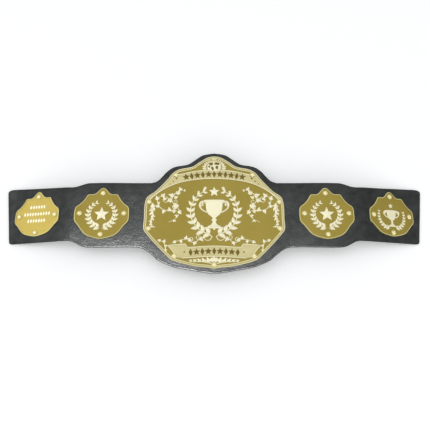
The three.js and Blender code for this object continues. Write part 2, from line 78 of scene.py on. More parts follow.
def lay(along, y, z):
    """Where a point of the flat belt goes, in metres."""
    past = abs(along) - BEND_START
    down = min(max(past, 0), BEND_LENGTH) / BEND_RADIUS
    sloping = min(max(past - BEND_LENGTH, 0), SLOPE_LENGTH)
    turn = down - min(max(past - BEND_LENGTH - SLOPE_LENGTH, 0), LEVEL_LENGTH) / LEVEL_RADIUS
    level = max(past - BEND_LENGTH - SLOPE_LENGTH - LEVEL_LENGTH, 0)
    x = min(abs(along), BEND_START) + BEND_RADIUS * math.sin(down) + sloping * math.cos(DROOP) + level
    drop = BEND_RADIUS * (1 - math.cos(down)) + sloping * math.sin(DROOP)
    if turn < down:
        x += LEVEL_RADIUS * (math.sin(DROOP) - math.sin(turn))
        drop += LEVEL_RADIUS * (math.cos(turn) - math.cos(DROOP))
    x += z * math.sin(turn)
    height = LEATHER_TOP - drop + z * math.cos(turn)
    return Vector((math.copysign(x, along), y + BELT_SHIFT, height)) * MM


def belt_matrix(along, y=0):
    """The place of a stiff piece on the belt. It also turns millimetres to metres."""
    turn = math.copysign(DROOP, along) if abs(along) > BEND_START else 0
    place = Matrix.Translation(lay(along, y, 0))
    return place @ Matrix.Rotation(turn, 4, "Y") @ Matrix.Scale(MM, 4)


print("end of the leather", [round(value, 4) for value in lay(STRAP_END, 0, 0)])

# %% [markdown]
# Each outline is a table of its right half, in shares of the plate's half width, crown and foot. A smooth
# line through the points gives the flowing edge of a cast plate.

# %% Outlines
MAIN_EDGE = [
    (0, 1), (0.09, 0.983), (0.164, 0.938), (0.234, 0.885), (0.302, 0.829), (0.377, 0.801),
    (0.463, 0.784), (0.54, 0.757), (0.614, 0.695), (0.668, 0.615), (0.729, 0.535), (0.789, 0.459),
    (0.865, 0.376), (0.967, 0.29), (0.997, 0.172), (1, -0.08), (1, -0.287), (0.955, -0.37),
    (0.81, -0.578), (0.67, -0.758), (0.596, -0.84), (0.417, -0.914), (0.246, -0.961),
    (0.082, -0.983), (0, -1),
]
SIDE_EDGE = [
    (0, 1), (0.085, 0.968), (0.16, 0.893), (0.25, 0.8), (0.34, 0.755), (0.45, 0.756), (0.552, 0.737),
    (0.62, 0.63), (0.72, 0.49), (0.83, 0.38), (0.94, 0.3), (0.985, 0.225), (1, 0.03), (0.992, -0.21),
    (0.955, -0.31), (0.845, -0.445), (0.715, -0.635), (0.59, -0.79), (0.44, -0.885), (0.25, -0.95),
    (0, -1),
]
RISE_ABOVE = [
    (0, 1), (0.087, 0.978), (0.175, 0.931), (0.24, 0.84), (0.306, 0.735), (0.371, 0.64),
    (0.437, 0.597), (0.538, 0.565), (0.619, 0.505), (0.698, 0.373), (0.771, 0.19), (0.829, 0.068),
    (0.902, 0.006), (0.961, 0),
]
RISE_BELOW = [
    (0, 1), (0.174, 0.935), (0.348, 0.856), (0.521, 0.775), (0.654, 0.655), (0.787, 0.485), (0.869, 0.3),
    (0.961, 0.115), (1.023, 0.035), (1.094, 0),
]
OUTLINE_STEPS = 4


def spline(points, steps, closed=False):
    """A smooth line through the points, with so many steps between each two."""
    points = [Vector(point) for point in points]
    count = len(points)
    line = []
    for i in range(count if closed else count - 1):
        if closed:
            a, b, c, d = (points[(i + k) % count] for k in (-1, 0, 1, 2))
        else:
            b, c = points[i], points[i + 1]
            a = points[i - 1] if i else 2 * b - c
            d = points[i + 2] if i + 2 < count else 2 * c - b
        before, here, after = ((q - p).length ** 0.5 for p, q in ((a, b), (b, c), (c, d)))
        start = here * ((b - a) / before - (c - a) / (before + here)) + c - b
        stop = here * ((d - c) / after - (d - b) / (here + after)) + c - b
        for step in range(steps):
            t = step / steps
            bend = (3 * (c - b) - 2 * start - stop) * t * t + (2 * (b - c) + start + stop) * t ** 3
            line.append(b + start * t + bend)
    return line if closed else line + [points[-1]]


def mirrored(points):
    """The same line on the left half, running the other way."""
    return [Vector((-point[0], point[1])) for point in reversed(points)]


def on_plate(rows, size):
    """Shares of a plate's size to millimetres."""
    return [Vector((x * size["half"], y * size["crown" if y > 0 else "foot"])) for x, y in rows]


def plate_outline(rows, size):
    """The whole edge of a plate, anticlockwise."""
    right = on_plate(rows, size)[::-1]
    return spline(right + mirrored(right)[1:-1], OUTLINE_STEPS, closed=True)


def inset(outline, distance):
    """The closed outline moved inwards by a distance. A sharp corner moves at most twice as far."""
    moved = []
    for i, point in enumerate(outline):
        before = (point - outline[i - 1]).normalized()
        after = (outline[(i + 1) % len(outline)] - point).normalized()
        along = (before + after).normalized()
        reach = distance / max(0.5, before.dot(along))
        moved.append(point + Vector((-along.y, along.x)) * reach)
    return moved


def spaced(points, pitch, closed=False):
    """Evenly spaced places on a line: each a point and its direction in radians."""
    points = points + [points[0]] if closed else points
    lengths = [(b - a).length for a, b in zip(points, points[1:])]
    count = max(1, round(sum(lengths) / pitch))
    places = []
    gone = 0
    i = 0
    for k in range(count if closed else count + 1):
        target = min(k * sum(lengths) / count, sum(lengths) - 1e-6)
        while gone + lengths[i] < target:
            gone += lengths[i]
            i += 1
        step = points[i + 1] - points[i]
        share = (target - gone) / lengths[i]
        places.append((points[i] + step * share, math.atan2(step.y, step.x)))
    return places


main_outline = plate_outline(MAIN_EDGE, MAIN)
inner_outline = plate_outline(SIDE_EDGE, INNER)
outer_outline = plate_outline(SIDE_EDGE, OUTER)
print("outline points", len(main_outline), len(inner_outline), len(outer_outline))

# %% [markdown]
# A colour is written as a hex value, as a designer picks it, and one function turns it to the linear values
# that the shader needs. Nodes are added by one small function that sets values and makes links.

# %% Colours and nodes


def linear(code):
    """A hex colour in sRGB to linear values with alpha."""
    parts = [int(code[i:i + 2], 16) / 255 for i in (1, 3, 5)]
    return [c / 12.92 if c <= 0.04045 else ((c + 0.055) / 1.055) ** 2.4 for c in parts] + [1]


def add_node(tree, kind, values=None, links=None, **settings):
    """A node with its settings, its input values and its links from other nodes' sockets."""
    node = tree.nodes.new(kind)
    for key, value in settings.items():
        setattr(node, key, value)
    for key, value in (values or {}).items():
        node.inputs[key].default_value = value
    for key, socket in (links or {}).items():
        tree.links.new(socket, node.inputs[key])
    return node


def new_material(name):
    """An empty material with its output, its surface shader and Object coordinates."""
    material = bpy.data.materials.new(name)
    material.use_nodes = True
    tree = material.node_tree
    tree.nodes.clear()
    shader = add_node(tree, "ShaderNodeBsdfPrincipled")
    add_node(tree, "ShaderNodeOutputMaterial", links={"Surface": shader.outputs["BSDF"]})
    place = add_node(tree, "ShaderNodeTexCoord").outputs["Object"]
    return material, tree, shader, place


print("mid grey as a linear value", round(linear("#808080")[0], 3))

# %% [markdown]
# The strap is chrome-tanned cowhide with a pressed grain, dyed through and finished with a soft gloss. The
# eye sees small pebbled cells, a few wider creases and a highlight that breaks up over them. A Voronoi
# texture gives the cells and a slow noise the uneven polish. The real cells are about 1 mm wide. They are
# drawn 2.4 mm wide here, because finer ones vanish at the size of the render.

# %% Black grained leather
GRAIN_CELL = 0.0024
PORE = 0.0016
CREASE = 0.014
POLISH_PATCH = 0.07
WARP_SCALE = 90  # a patch of 11 mm, over which the rows of cells wander


def make_leather():
    material, tree, shader, place = new_material("black_grained_cowhide")
    warp = add_node(tree, "ShaderNodeTexNoise", {"Scale": WARP_SCALE, "Detail": 3}, {"Vector": place})
    moved = add_node(tree, "ShaderNodeMixRGB", {"Fac": 0.012}, {1: place, 2: warp.outputs["Color"]})
    cells = add_node(
        tree, "ShaderNodeTexVoronoi", {"Scale": 1 / GRAIN_CELL}, {"Vector": moved.outputs["Color"]},
        feature="SMOOTH_F1",
    )
    fine = add_node(tree, "ShaderNodeTexNoise", {"Scale": 1 / PORE, "Detail": 4}, {"Vector": place})
    creases = add_node(tree, "ShaderNodeTexNoise", {"Scale": 1 / CREASE, "Detail": 5}, {"Vector": place})
    polish = add_node(tree, "ShaderNodeTexNoise", {"Scale": 1 / POLISH_PATCH, "Detail": 3}, {"Vector": place})
    mottle = add_node(
        tree, "ShaderNodeMixRGB", {"Fac": 0.6}, {1: polish.outputs["Fac"], 2: creases.outputs["Fac"]},
    )
    contrast = add_node(
        tree, "ShaderNodeMapRange", {"From Min": 0.3, "From Max": 0.72}, {"Value": mottle.outputs["Color"]},
    )
    colour = add_node(
        tree, "ShaderNodeMixRGB", {1: linear("#050606"), 2: linear("#181a19")},
        {"Fac": contrast.outputs["Result"]},
    )
    tree.links.new(colour.outputs["Color"], shader.inputs["Base Color"])
    rough = add_node(
        tree, "ShaderNodeMapRange", {"To Min": 0.26, "To Max": 0.38}, {"Value": polish.outputs["Fac"]},
    )
    tree.links.new(rough.outputs["Result"], shader.inputs["Roughness"])
    low = add_node(
        tree, "ShaderNodeBump", {"Strength": 0.32, "Distance": 0.0016}, {"Height": creases.outputs["Fac"]},
    )
    grain = add_node(
        tree, "ShaderNodeBump", {"Strength": 0.42, "Distance": 0.0005},
        {"Height": cells.outputs["Distance"], "Normal": low.outputs["Normal"]},
    )
    pores = add_node(
        tree, "ShaderNodeBump", {"Strength": 0.14, "Distance": 0.0003},
        {"Height": fine.outputs["Fac"], "Normal": grain.outputs["Normal"]},
    )
    tree.links.new(pores.outputs["Normal"], shader.inputs["Normal"])
    shader.inputs["IOR"].default_value = 1.5
    shader.inputs["Specular IOR Level"].default_value = 0.2
    return material


leather = make_leather()
print("made", leather.name)

# %% [markdown]
# The back of the strap is the flesh side of a thinner lining hide. It is matt, a little browner, and shows
# short fibres along the belt, about 4 mm long and 1.5 mm apart, which a stretched noise gives.

# %% Lining hide
FIBRE_SCALE = (260, 700, 500)
LINING_PATCH = 0.05


def make_lining():
    material, tree, shader, place = new_material("brushed_lining_hide")
    stretch = add_node(tree, "ShaderNodeMapping", {"Scale": FIBRE_SCALE}, {"Vector": place})
    fibres = add_node(
        tree, "ShaderNodeTexNoise", {"Scale": 1, "Detail": 5, "Distortion": 0.6},
        {"Vector": stretch.outputs["Vector"]},
    )
    patches = add_node(
        tree, "ShaderNodeTexNoise", {"Scale": 1 / LINING_PATCH, "Detail": 3}, {"Vector": place},
    )
    mixed = add_node(
        tree, "ShaderNodeMixRGB", {"Fac": 0.45},
        {1: fibres.outputs["Fac"], 2: patches.outputs["Fac"]},
    )
    colour = add_node(
        tree, "ShaderNodeMixRGB", {1: linear("#1c1917"), 2: linear("#3b352f")},
        {"Fac": mixed.outputs["Color"]},
    )
    tree.links.new(colour.outputs["Color"], shader.inputs["Base Color"])
    bump = add_node(
        tree, "ShaderNodeBump", {"Strength": 0.35, "Distance": 0.0004}, {"Height": fibres.outputs["Fac"]},
    )
    tree.links.new(bump.outputs["Normal"], shader.inputs["Normal"])
    shader.inputs["Roughness"].default_value = 0.82
    return material


lining = make_lining()
print("made", lining.name)

# %% [markdown]
# The cut edge is painted black and rubbed down, in layers that leave an uneven film. The waxed thread of the
# seam is black too, and the fine light and dark of its twist is painted shade and highlight in its colour,
# beside a bump. Both are one noise that drives the colour and the bump, so one function makes them.

# %% Painted edge and waxed thread
PAINT_SCALE = 420  # layers about 2.4 mm across
TWIST = 0.0008


def make_dark_coat(name, scale, detail, dark, light, bump_values, rough, specular):
    material, tree, shader, place = new_material(name)
    layers = add_node(tree, "ShaderNodeTexNoise", {"Scale": scale, "Detail": detail}, {"Vector": place})
    colour = add_node(
        tree, "ShaderNodeMixRGB", {1: linear(dark), 2: linear(light)}, {"Fac": layers.outputs["Fac"]},
    )
    tree.links.new(colour.outputs["Color"], shader.inputs["Base Color"])
    bump = add_node(tree, "ShaderNodeBump", bump_values, {"Height": layers.outputs["Fac"]})
    tree.links.new(bump.outputs["Normal"], shader.inputs["Normal"])
    shader.inputs["Roughness"].default_value = rough
    shader.inputs["Specular IOR Level"].default_value = specular
    return material


edge_paint = make_dark_coat(
    "burnished_edge_paint", PAINT_SCALE, 3, "#040404", "#0e0f0f", {"Strength": 0.15, "Distance": 0.0003},
    0.55, 0.12,
)
# The thread's colour noise is painted shade and highlight of its twist; the same noise gives its bump.
waxed_thread = make_dark_coat(
    "waxed_black_thread", 1 / TWIST, 2, "#070808", "#1b1d1d", {"Strength": 0.4, "Distance": 0.0003},
    0.6, 0.15,
)
print("made", edge_paint.name, waxed_thread.name)

# %% [markdown]
# The plates are zinc-alloy castings with a thin gold plating. The lowered ground is left satin, so it mirrors
# the room as a soft olive gold. On the outer left plate the same ground is a brighter copy: painted light for
# the softbox that it faces. Everything raised is polished, and its colour is painted a pale cream near white,
# a painted highlight that stands for the light it meets. The screws are turned brass and the studs
# nickel-plated steel. All are metals, and their colour is the colour of their reflection: slow patches of
# tone, wear every few millimetres, and a skin of fine pits 0.9 mm apart, drawn coarser than the real ones so
# that they show.

# %% Metal finishes
TONE_PATCH = 0.06
WEAR_PATCH = 0.005
SKIN_PIT = 0.0009


def make_metal(name, dark, light, rough_low, rough_high, strength):
    material, tree, shader, place = new_material(name)
    tone = add_node(tree, "ShaderNodeTexNoise", {"Scale": 1 / TONE_PATCH, "Detail": 3}, {"Vector": place})
    colour = add_node(
        tree, "ShaderNodeMixRGB", {1: linear(dark), 2: linear(light)}, {"Fac": tone.outputs["Fac"]},
    )
    tree.links.new(colour.outputs["Color"], shader.inputs["Base Color"])
    wear = add_node(tree, "ShaderNodeTexNoise", {"Scale": 1 / WEAR_PATCH, "Detail": 5}, {"Vector": place})
    rough = add_node(
        tree, "ShaderNodeMapRange", {"To Min": rough_low, "To Max": rough_high},
        {"Value": wear.outputs["Fac"]},
    )
    tree.links.new(rough.outputs["Result"], shader.inputs["Roughness"])
    skin = add_node(tree, "ShaderNodeTexNoise", {"Scale": 1 / SKIN_PIT, "Detail": 3}, {"Vector": place})
    bump = add_node(
        tree, "ShaderNodeBump", {"Strength": strength, "Distance": 0.0001}, {"Height": skin.outputs["Fac"]},
    )
    tree.links.new(bump.outputs["Normal"], shader.inputs["Normal"])
    shader.inputs["Metallic"].default_value = 1
    return material


satin_gold = make_metal("satin_gold_ground", "#9c8a3e", "#b09d50", 0.34, 0.48, 0.5)
# Painted light: the outer left plate's ground is the satin gold painted brighter, for the softbox it mirrors.
satin_gold_painted_light = make_metal("satin_gold_ground_painted_light", "#c2ab55", "#d3bd68", 0.34, 0.46, 0.5)
pale_gold = make_metal("pale_gold_rim", "#d0c482", "#dfd498", 0.3, 0.42, 0.25)
banner_gold = make_metal("pale_satin_gold_banner", "#d8cc92", "#e4d9a6", 0.42, 0.54, 0.4)
# Painted highlight: polished gold whose colour is painted a pale cream near white.
relief_gold_painted_highlight = make_metal("polished_gold_relief_painted_highlight", "#fbf2c6", "#fffae0", 0.3, 0.42, 0.15)
dark_gold = make_metal("antiqued_gold", "#756530", "#8d7b42", 0.45, 0.6, 0.4)
screw_brass = make_metal("polished_brass_screw", "#fbeeae", "#fff6c8", 0.2, 0.3, 0.1)
stud_nickel = make_metal("nickel_plated_stud", "#b9bcc0", "#cfd2d6", 0.16, 0.28, 0.1)
print("made gold, brass and nickel")

# %% [markdown]
# A finished bmesh becomes an object here. It is drawn flat in millimetres and laid at its place on the belt.
# Its faces are smooth except where two meet at a sharp angle, it rides on the belt's one body, and the CAD
# node that it stands for is hidden.

# %% Finish a piece
SHARP = math.radians(32)
MERGE = 1e-7


def as_mesh(bm, name):
    """Turn a bmesh into a mesh, for a piece or as a pattern that copies are made from."""
    mesh = bpy.data.meshes.new(name)
    bm.to_mesh(mesh)
    bm.free()
    return mesh


def finish(bm, name, materials, slot, *nodes, place=None):
    """Turn a bmesh into a piece of the belt, laid at its place if it has one."""
    if place:
        bmesh.ops.transform(bm, matrix=place, verts=bm.verts)
    bmesh.ops.remove_doubles(bm, verts=bm.verts, dist=MERGE)
    bmesh.ops.recalc_face_normals(bm, faces=bm.faces)
    for face in bm.faces:
        face.smooth = True
    for edge in bm.edges:
        edge.smooth = len(edge.link_faces) == 2 and edge.calc_face_angle(0) < SHARP
    piece = bpy.data.objects.new(name, as_mesh(bm, name))
    bpy.context.scene.collection.objects.link(piece)
    for material in materials:
        piece.data.materials.append(material)
    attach(piece, "root")
    if nodes:
        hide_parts(*nodes)
    triangles = sum(len(face.vertices) - 2 for face in piece.data.polygons)
    print(f"{name}: {triangles} triangles")
    return piece


def raise_face(bm, face, up):
    """Pull a face out of its plane and return the face at its new height."""
    made = bmesh.ops.extrude_face_region(bm, geom=[face])["geom"]
    top = [item for item in made if isinstance(item, bmesh.types.BMFace)][0]
    bmesh.ops.translate(bm, verts=top.verts, vec=(0, 0, up))
    return top


def round_edges(bm, edges, offset, segments=2):
    """Round some edges with a bevel."""
    bmesh.ops.bevel(
        bm, geom=edges, offset=offset, segments=segments, profile=0.5, affect="EDGES", material=-1,
    )


def step_in(bm, face, distance, down=0):
    """Inset a face by a distance and lower it, for a rim, a groove or a chamfer."""
    bmesh.ops.inset_region(bm, faces=[face], thickness=distance, use_even_offset=True)
    if down:
        bmesh.ops.translate(bm, verts=face.verts, vec=(0, 0, -down))


print("edges are sharp from", round(math.degrees(SHARP)), "degrees")

# %% [markdown]
# The strap is one piece of hide, 3 mm thick, wide behind the main plate and narrower towards its ends. Each
# edge is a table of how far the leather rises above its band, as shares of the main plate's half width and of
# that rise. Past the inner plate it narrows evenly, and the corner of its end is a rounded curve.

# %% Leather outline
TAPER_OVER_INNER = 0.5  # share of the inner plate's half width over which the leather narrows
TAPER_PAST_INNER = 0.3  # share of the bend by which it has become narrow
TAPER_SHARES = (0, 0.25, 0.5, 0.75, 1)
CORNER_SHARES = (0, 0.2, 0.35, 0.5, 0.6, 0.7, 0.8, 0.9, 1)
UPPER_EDGE = {"margin": 8.7, "band": 67.6, "tail": 58.7, "end": 63, "corner": 20, "drop": 8}
LOWER_EDGE = {"margin": 9.3, "band": 65.2, "tail": 52, "end": 53, "corner": 7, "drop": 6}


def leather_half(rise, reach, length, margin, band, tail, end, corner, drop):
    """How far the leather reaches from the centre line, from the middle to the right end."""
    full = reach + margin - band
    edge = [Vector((x * MAIN["half"], band + share * full)) for x, share in rise]
    start = INNER_CENTRE + INNER["half"] * TAPER_OVER_INNER
    stop = BEND_START + BEND_LENGTH * TAPER_PAST_INNER
    for share in TAPER_SHARES:
        narrow = share * share * (3 - 2 * share)
        edge.append(Vector((start + (stop - start) * share, band + (tail - band) * narrow)))
    smooth = spline(edge, OUTLINE_STEPS)
    for share in CORNER_SHARES:
        smooth.append(Vector((length - corner * (1 - share) ** 2, end - drop * share * share)))
    return smooth


above = leather_half(RISE_ABOVE, MAIN["crown"], STRAP_END, **UPPER_EDGE)
below = leather_half(RISE_BELOW, MAIN["foot"], STRAP_END - END_SLANT, **LOWER_EDGE)
right_edge = [Vector((point.x, -point.y)) for point in below] + above[::-1]
leather_outline = right_edge + mirrored(right_edge)[1:-1]
print("leather outline points", len(leather_outline))

# %% [markdown]
# Leather that is held by stiff plates sags a little at its free edges and never lies quite even. The sag
# grows with the fifth power of the way to the edge and fades out before the end, which lies on the floor.

# %% Sag of the free edges
SAG = 1.6
SAG_POWER = 5
EDGE_ROOM = 1.04  # the full sag lies that share past the edge
FADE_LENGTH = 60
WAVE_HEIGHT = 0.22
WAVE_LENGTH = 42
WAVE_LAYER = 1.7


def interpolate(curve, x):
    """The height of a line of points at x."""
    for a, b in zip(curve, curve[1:]):
        if x <= b.x:
            return a.y + (b.y - a.y) * max(0, x - a.x) / max(1e-6, b.x - a.x)
    return curve[-1].y


def sag(x, y):
    """How far the leather hangs below its flat middle at a point, in millimetres."""
    share = abs(y) / (EDGE_ROOM * interpolate(above if y > 0 else below, abs(x)))
    fade = min(1, max(0, (LEVEL_START - abs(x)) / FADE_LENGTH))
    wave = WAVE_HEIGHT * noise.noise(Vector((x / WAVE_LENGTH, y / WAVE_LENGTH, WAVE_LAYER)))
    return fade * (SAG * share ** SAG_POWER + wave)


def drape(bm):
    """Lay a flat bmesh on the belt's bend and let it sag, but never below the floor."""
    for vert in bm.verts:
        x, y, z = vert.co
        vert.co = lay(x, y, z - sag(x, y))
        vert.co.z = max(0, vert.co.z)


print("sag at the crown, in millimetres", round(sag(0, above[0].y), 2))

# %% [markdown]
# The strap could be a box with edited corners, but the flowing edge decides here: one face with the leather's
# outline is extruded, its edges are rounded with a bevel, and a shallow groove is inset for the stitching.
# Planes then cut the slab into strips, so that it can bend.

# %% Leather strap
EDGE_ROUND = 0.8
SEAM_INSET = 3.6
SEAM_DEPTH = 0.4
SEAM_HALF_WIDTH = 0.5
COLUMNS = range(-420, 421, 7)
ROWS = range(-112, 128, 10)


def largest(bm, up):
    """The largest face that looks straight up, or straight down."""
    return max((f for f in bm.faces if f.normal.z * up > 0.9), key=lambda face: face.calc_area())


def cut_strips(bm, xs, ys):
    """Cut the slab by upright planes, so that each strip can turn on its own."""
    for at, normal in [((x, 0, 0), (1, 0, 0)) for x in xs] + [((0, y, 0), (0, 1, 0)) for y in ys]:
        geom = bm.verts[:] + bm.edges[:] + bm.faces[:]
        bmesh.ops.bisect_plane(bm, geom=geom, dist=1e-4, plane_co=at, plane_no=normal)


def make_strap():
    bm = bmesh.new()
    face = bm.faces.new([bm.verts.new((x, y, 0)) for x, y in leather_outline])
    raise_face(bm, face, -STRAP_THICKNESS)
    bmesh.ops.recalc_face_normals(bm, faces=bm.faces)
    for face in bm.faces:
        face.material_index = 2
    largest(bm, 1).material_index = 0
    largest(bm, -1).material_index = 1
    round_edges(bm, [e for e in bm.edges if abs(e.verts[0].co.z - e.verts[1].co.z) < 1e-6], EDGE_ROUND, 3)
    for up in (1, -1):
        step_in(bm, largest(bm, up), SEAM_INSET - EDGE_ROUND - SEAM_HALF_WIDTH)
        step_in(bm, largest(bm, up), SEAM_HALF_WIDTH, up * SEAM_DEPTH)
        step_in(bm, largest(bm, up), SEAM_HALF_WIDTH, -up * SEAM_DEPTH)
    bends = [BEND_START + BEND_LENGTH * k / 10 for k in range(11)]
    bends += [LEVEL_START + LEVEL_LENGTH * k / 4 for k in range(5)]
    cut_strips(bm, list(COLUMNS) + bends + [-x for x in bends], ROWS)
    drape(bm)
    return finish(bm, "strap_hide", [leather, lining, edge_paint], "leather", "strap")


strap_hide = make_strap()

# %% [markdown]
# A lockstitch in waxed black thread runs round the edge of the strap and holds face and lining together.
# Each visible stitch is a small bead of thread that dips into the hide at both ends. One bead is modelled,
# and a copy is set at every pitch along the seam, on the face and on the back.

# %% Stitching
STITCH = (3.3, 0.9, 0.8)
STITCH_PITCH = 4.2
STITCH_PROUD = 0.15  # from the groove's floor to the middle of the bead


def bead(length, width, height):
    """A long bead about its own middle, as a mesh that copies are made from."""
    bm = bmesh.new()
    bmesh.ops.create_icosphere(bm, subdivisions=2, radius=0.5)
    bmesh.ops.scale(bm, vec=(length, width, height), verts=bm.verts)
    return as_mesh(bm, "bead")


def add_copy(bm, mesh, matrix):
    """A copy of a mesh at a place, inside a bmesh."""
    before = len(bm.verts)
    bm.from_mesh(mesh)
    bm.verts.ensure_lookup_table()
    bmesh.ops.transform(bm, matrix=matrix, verts=bm.verts[before:])


def flat_place(x, y, z=0, turn=0, size=1):
    """A place on a flat plate, turned about its upright axis and scaled."""
    move = Matrix.Translation((x, y, z))
    return move @ Matrix.Rotation(turn, 4, "Z") @ Matrix.Scale(size, 4)


def make_stitching():
    bm = bmesh.new()
    mesh = bead(*STITCH)
    face_level = STITCH_PROUD - SEAM_DEPTH
    for point, turn in spaced(inset(leather_outline, SEAM_INSET), STITCH_PITCH, closed=True):
        for level in (face_level, -STRAP_THICKNESS - face_level):
            add_copy(bm, mesh, flat_place(point.x, point.y, level, turn))
    drape(bm)
    return finish(bm, "strap_stitching", [waxed_thread], "leather")


strap_stitching = make_stitching()

# %% [markdown]
# Each plate starts as a blank: its outline is extruded, the edge is rounded, and the top face is inset and
# lowered until rim, rope channel and ground have their own levels, as a die would press them.

# %% Plate blanks
MAIN_RIM = 5.5
EDGE_BEVEL = 0.4
LIP = 0.8
CHANNEL_WIDTH = 3.1
CHANNEL_DEPTH = 0.45
WALL = 0.15  # a steep wall takes up this much of the width
GROUND_WALL = 0.2
GROUND_DEPTH = PLATE_TOP - GROUND
MAIN_STEPS = [
    (LIP, 0), (WALL, CHANNEL_DEPTH), (CHANNEL_WIDTH, 0), (WALL, -CHANNEL_DEPTH), (LIP, 0),
    (GROUND_WALL, GROUND_DEPTH),
]
SIDE_LIP = 1.4
SIDE_STEPS = [(SIDE_LIP, 0), (GROUND_WALL, GROUND_DEPTH)]
PLATES = {
    "main": (main_outline, MAIN_STEPS, 0, satin_gold),
    "inner_left": (inner_outline, SIDE_STEPS, -INNER_CENTRE, satin_gold),
    "inner_right": (inner_outline, SIDE_STEPS, INNER_CENTRE, satin_gold),
    # The outer left ground is the satin gold painted brighter: painted light.
    "outer_left": (outer_outline, SIDE_STEPS, -OUTER_CENTRE, satin_gold_painted_light),
    "outer_right": (outer_outline, SIDE_STEPS, OUTER_CENTRE, satin_gold),
}


def make_plate(name, outline, steps, along, ground):
    """A plate with its rim. Each step is how far in the next level starts, and how far down it lies."""
    bm = bmesh.new()
    face = bm.faces.new([bm.verts.new((x, y, CLEARANCE)) for x, y in outline])
    raise_face(bm, face, PLATE_TOP - CLEARANCE)
    bmesh.ops.recalc_face_normals(bm, faces=bm.faces)
    round_edges(bm, [e for e in bm.edges if all(v.co.z > PLATE_TOP - 1e-6 for v in e.verts)], EDGE_BEVEL)
    for distance, down in steps:
        step_in(bm, largest(bm, 1), distance, down)
    largest(bm, 1).material_index = 1
    finishes = [pale_gold, ground]
    finish(bm, f"{name}_casting", finishes, "gold_plate", f"{name}_plate", place=belt_matrix(along))


for plate_name, row in PLATES.items():
    make_plate(plate_name, *row)

# %% [markdown]
# The rim of the main plate carries a rope border. A rope seen from above is a row of slanting strands, so
# one bead, turned across the line, is repeated all the way round the channel.

# %% Rope border
STRAND = (3.6, 1.7, 1.5)
STRAND_PITCH = 2.1
STRAND_SLANT = math.radians(42)
STRAND_DROP = 0.5  # from the rim's top to the middle of a strand
ROPE_INSET = 2.65


def make_rope():
    bm = bmesh.new()
    mesh = bead(*STRAND)
    for point, turn in spaced(inset(main_outline, ROPE_INSET), STRAND_PITCH, closed=True):
        place = flat_place(point.x, point.y, PLATE_TOP - STRAND_DROP, turn + STRAND_SLANT)
        add_copy(bm, mesh, place)
    finish(bm, "main_rope_border", [pale_gold], "gold_plate", place=belt_matrix(0))


make_rope()

# %% [markdown]
# The ornament is drawn as a jeweller would chase it: tapering wires for stems, pointed leaves with a raised
# midrib, and facetted stars. A wire is a curve with a round section and a radius at each point.

# %% Wires


def wire_mesh(strokes, sides=2):
    """Round wires through lists of (x, y, radius) points, as one mesh round height 0."""
    curve = bpy.data.curves.new("wires", "CURVE")
    curve.dimensions = "3D"
    curve.bevel_depth = 1
    curve.bevel_resolution = sides
    curve.use_fill_caps = True
    for points in strokes:
        line = curve.splines.new("POLY")
        line.points.add(len(points) - 1)
        for target, (x, y, radius) in zip(line.points, points):
            target.co = (x, y, 0, 1)
            target.radius = radius
    wires = bpy.data.objects.new("wires", curve)
    bpy.context.scene.collection.objects.link(wires)
    bpy.context.view_layer.update()
    mesh = bpy.data.meshes.new_from_object(wires.evaluated_get(bpy.context.evaluated_depsgraph_get()))
    bpy.data.objects.remove(wires)
    return mesh


def taper(points, start, end, steps=5):
    """A smooth line whose radius runs evenly from one value to another."""
    line = spline(points, steps)
    last = len(line) - 1
    return [(p.x, p.y, start + (end - start) * i / last) for i, p in enumerate(line)]


print("a tapering wire of 3 points has", len(taper([(0, 0), (5, 2), (9, 0)], 1, 0.5)), "rings")

# %% [markdown]
# A leaf is a small grid, pulled to a point at both ends, domed along its midrib and closed below. It is one
# millimetre long, and each copy is scaled.

# %% Leaf
LEAF_HALF_WIDTH = 0.24
LEAF_BOW = 0.06
LEAF_HEIGHT = 0.09
LEAF_ROOT = -0.1  # how far the leaf reaches into the ground


def leaf_mesh():
    """A leaf of length 1 along X from its root."""
    bm = bmesh.new()
    bmesh.ops.create_grid(bm, x_segments=7, y_segments=4, size=0.5)
    for vert in bm.verts:
        along = vert.co.x + 0.5
        side = vert.co.y * 2
        width = LEAF_HALF_WIDTH * math.sin(math.pi * along ** 0.8) + 0.004
        bow = LEAF_BOW * math.sin(math.pi * along)
        height = LEAF_HEIGHT * (1 - 0.6 * side * side) * (1.1 - 0.6 * along)
        vert.co = (along, side * width + bow, height)
    bottom = bmesh.ops.extrude_face_region(bm, geom=bm.faces[:])["geom"]
    for vert in [item for item in bottom if isinstance(item, bmesh.types.BMVert)]:
        vert.co.z = LEAF_ROOT
    bmesh.ops.recalc_face_normals(bm, faces=bm.faces)
    return as_mesh(bm, "leaf")


LEAF = leaf_mesh()
print("leaf", len(LEAF.polygons), "faces")

# %% [markdown]
# A star is a circle whose every other corner is pulled in. Its face is raised a little and poked, so that
# facets rise to the middle. With two points the same shape is a lozenge.

# %% Star, lozenge and berry
STAR_BASE = 0.1


def star_mesh(points, waist, peak):
    """A facetted star of radius 1 with one point up."""
    bm = bmesh.new()
    bmesh.ops.create_circle(bm, cap_ends=True, segments=2 * points, radius=1)
    turns = sorted(bm.verts, key=lambda vert: math.atan2(vert.co.y, vert.co.x))
    for i, vert in enumerate(turns):
        turn = math.pi / 2 + i * math.pi / points
        reach = waist if i % 2 else 1
        vert.co = (reach * math.cos(turn), reach * math.sin(turn), 0)
    face = bm.faces[:][0]
    top = raise_face(bm, face, STAR_BASE)
    middle = bmesh.ops.poke(bm, faces=[top])["verts"][0]
    middle.co.z += peak
    bmesh.ops.translate(bm, verts=[v for v in bm.verts if v.co.z < STAR_BASE / 2], vec=(0, 0, -STAR_BASE))
    bmesh.ops.recalc_face_normals(bm, faces=bm.faces)
    return as_mesh(bm, "star")


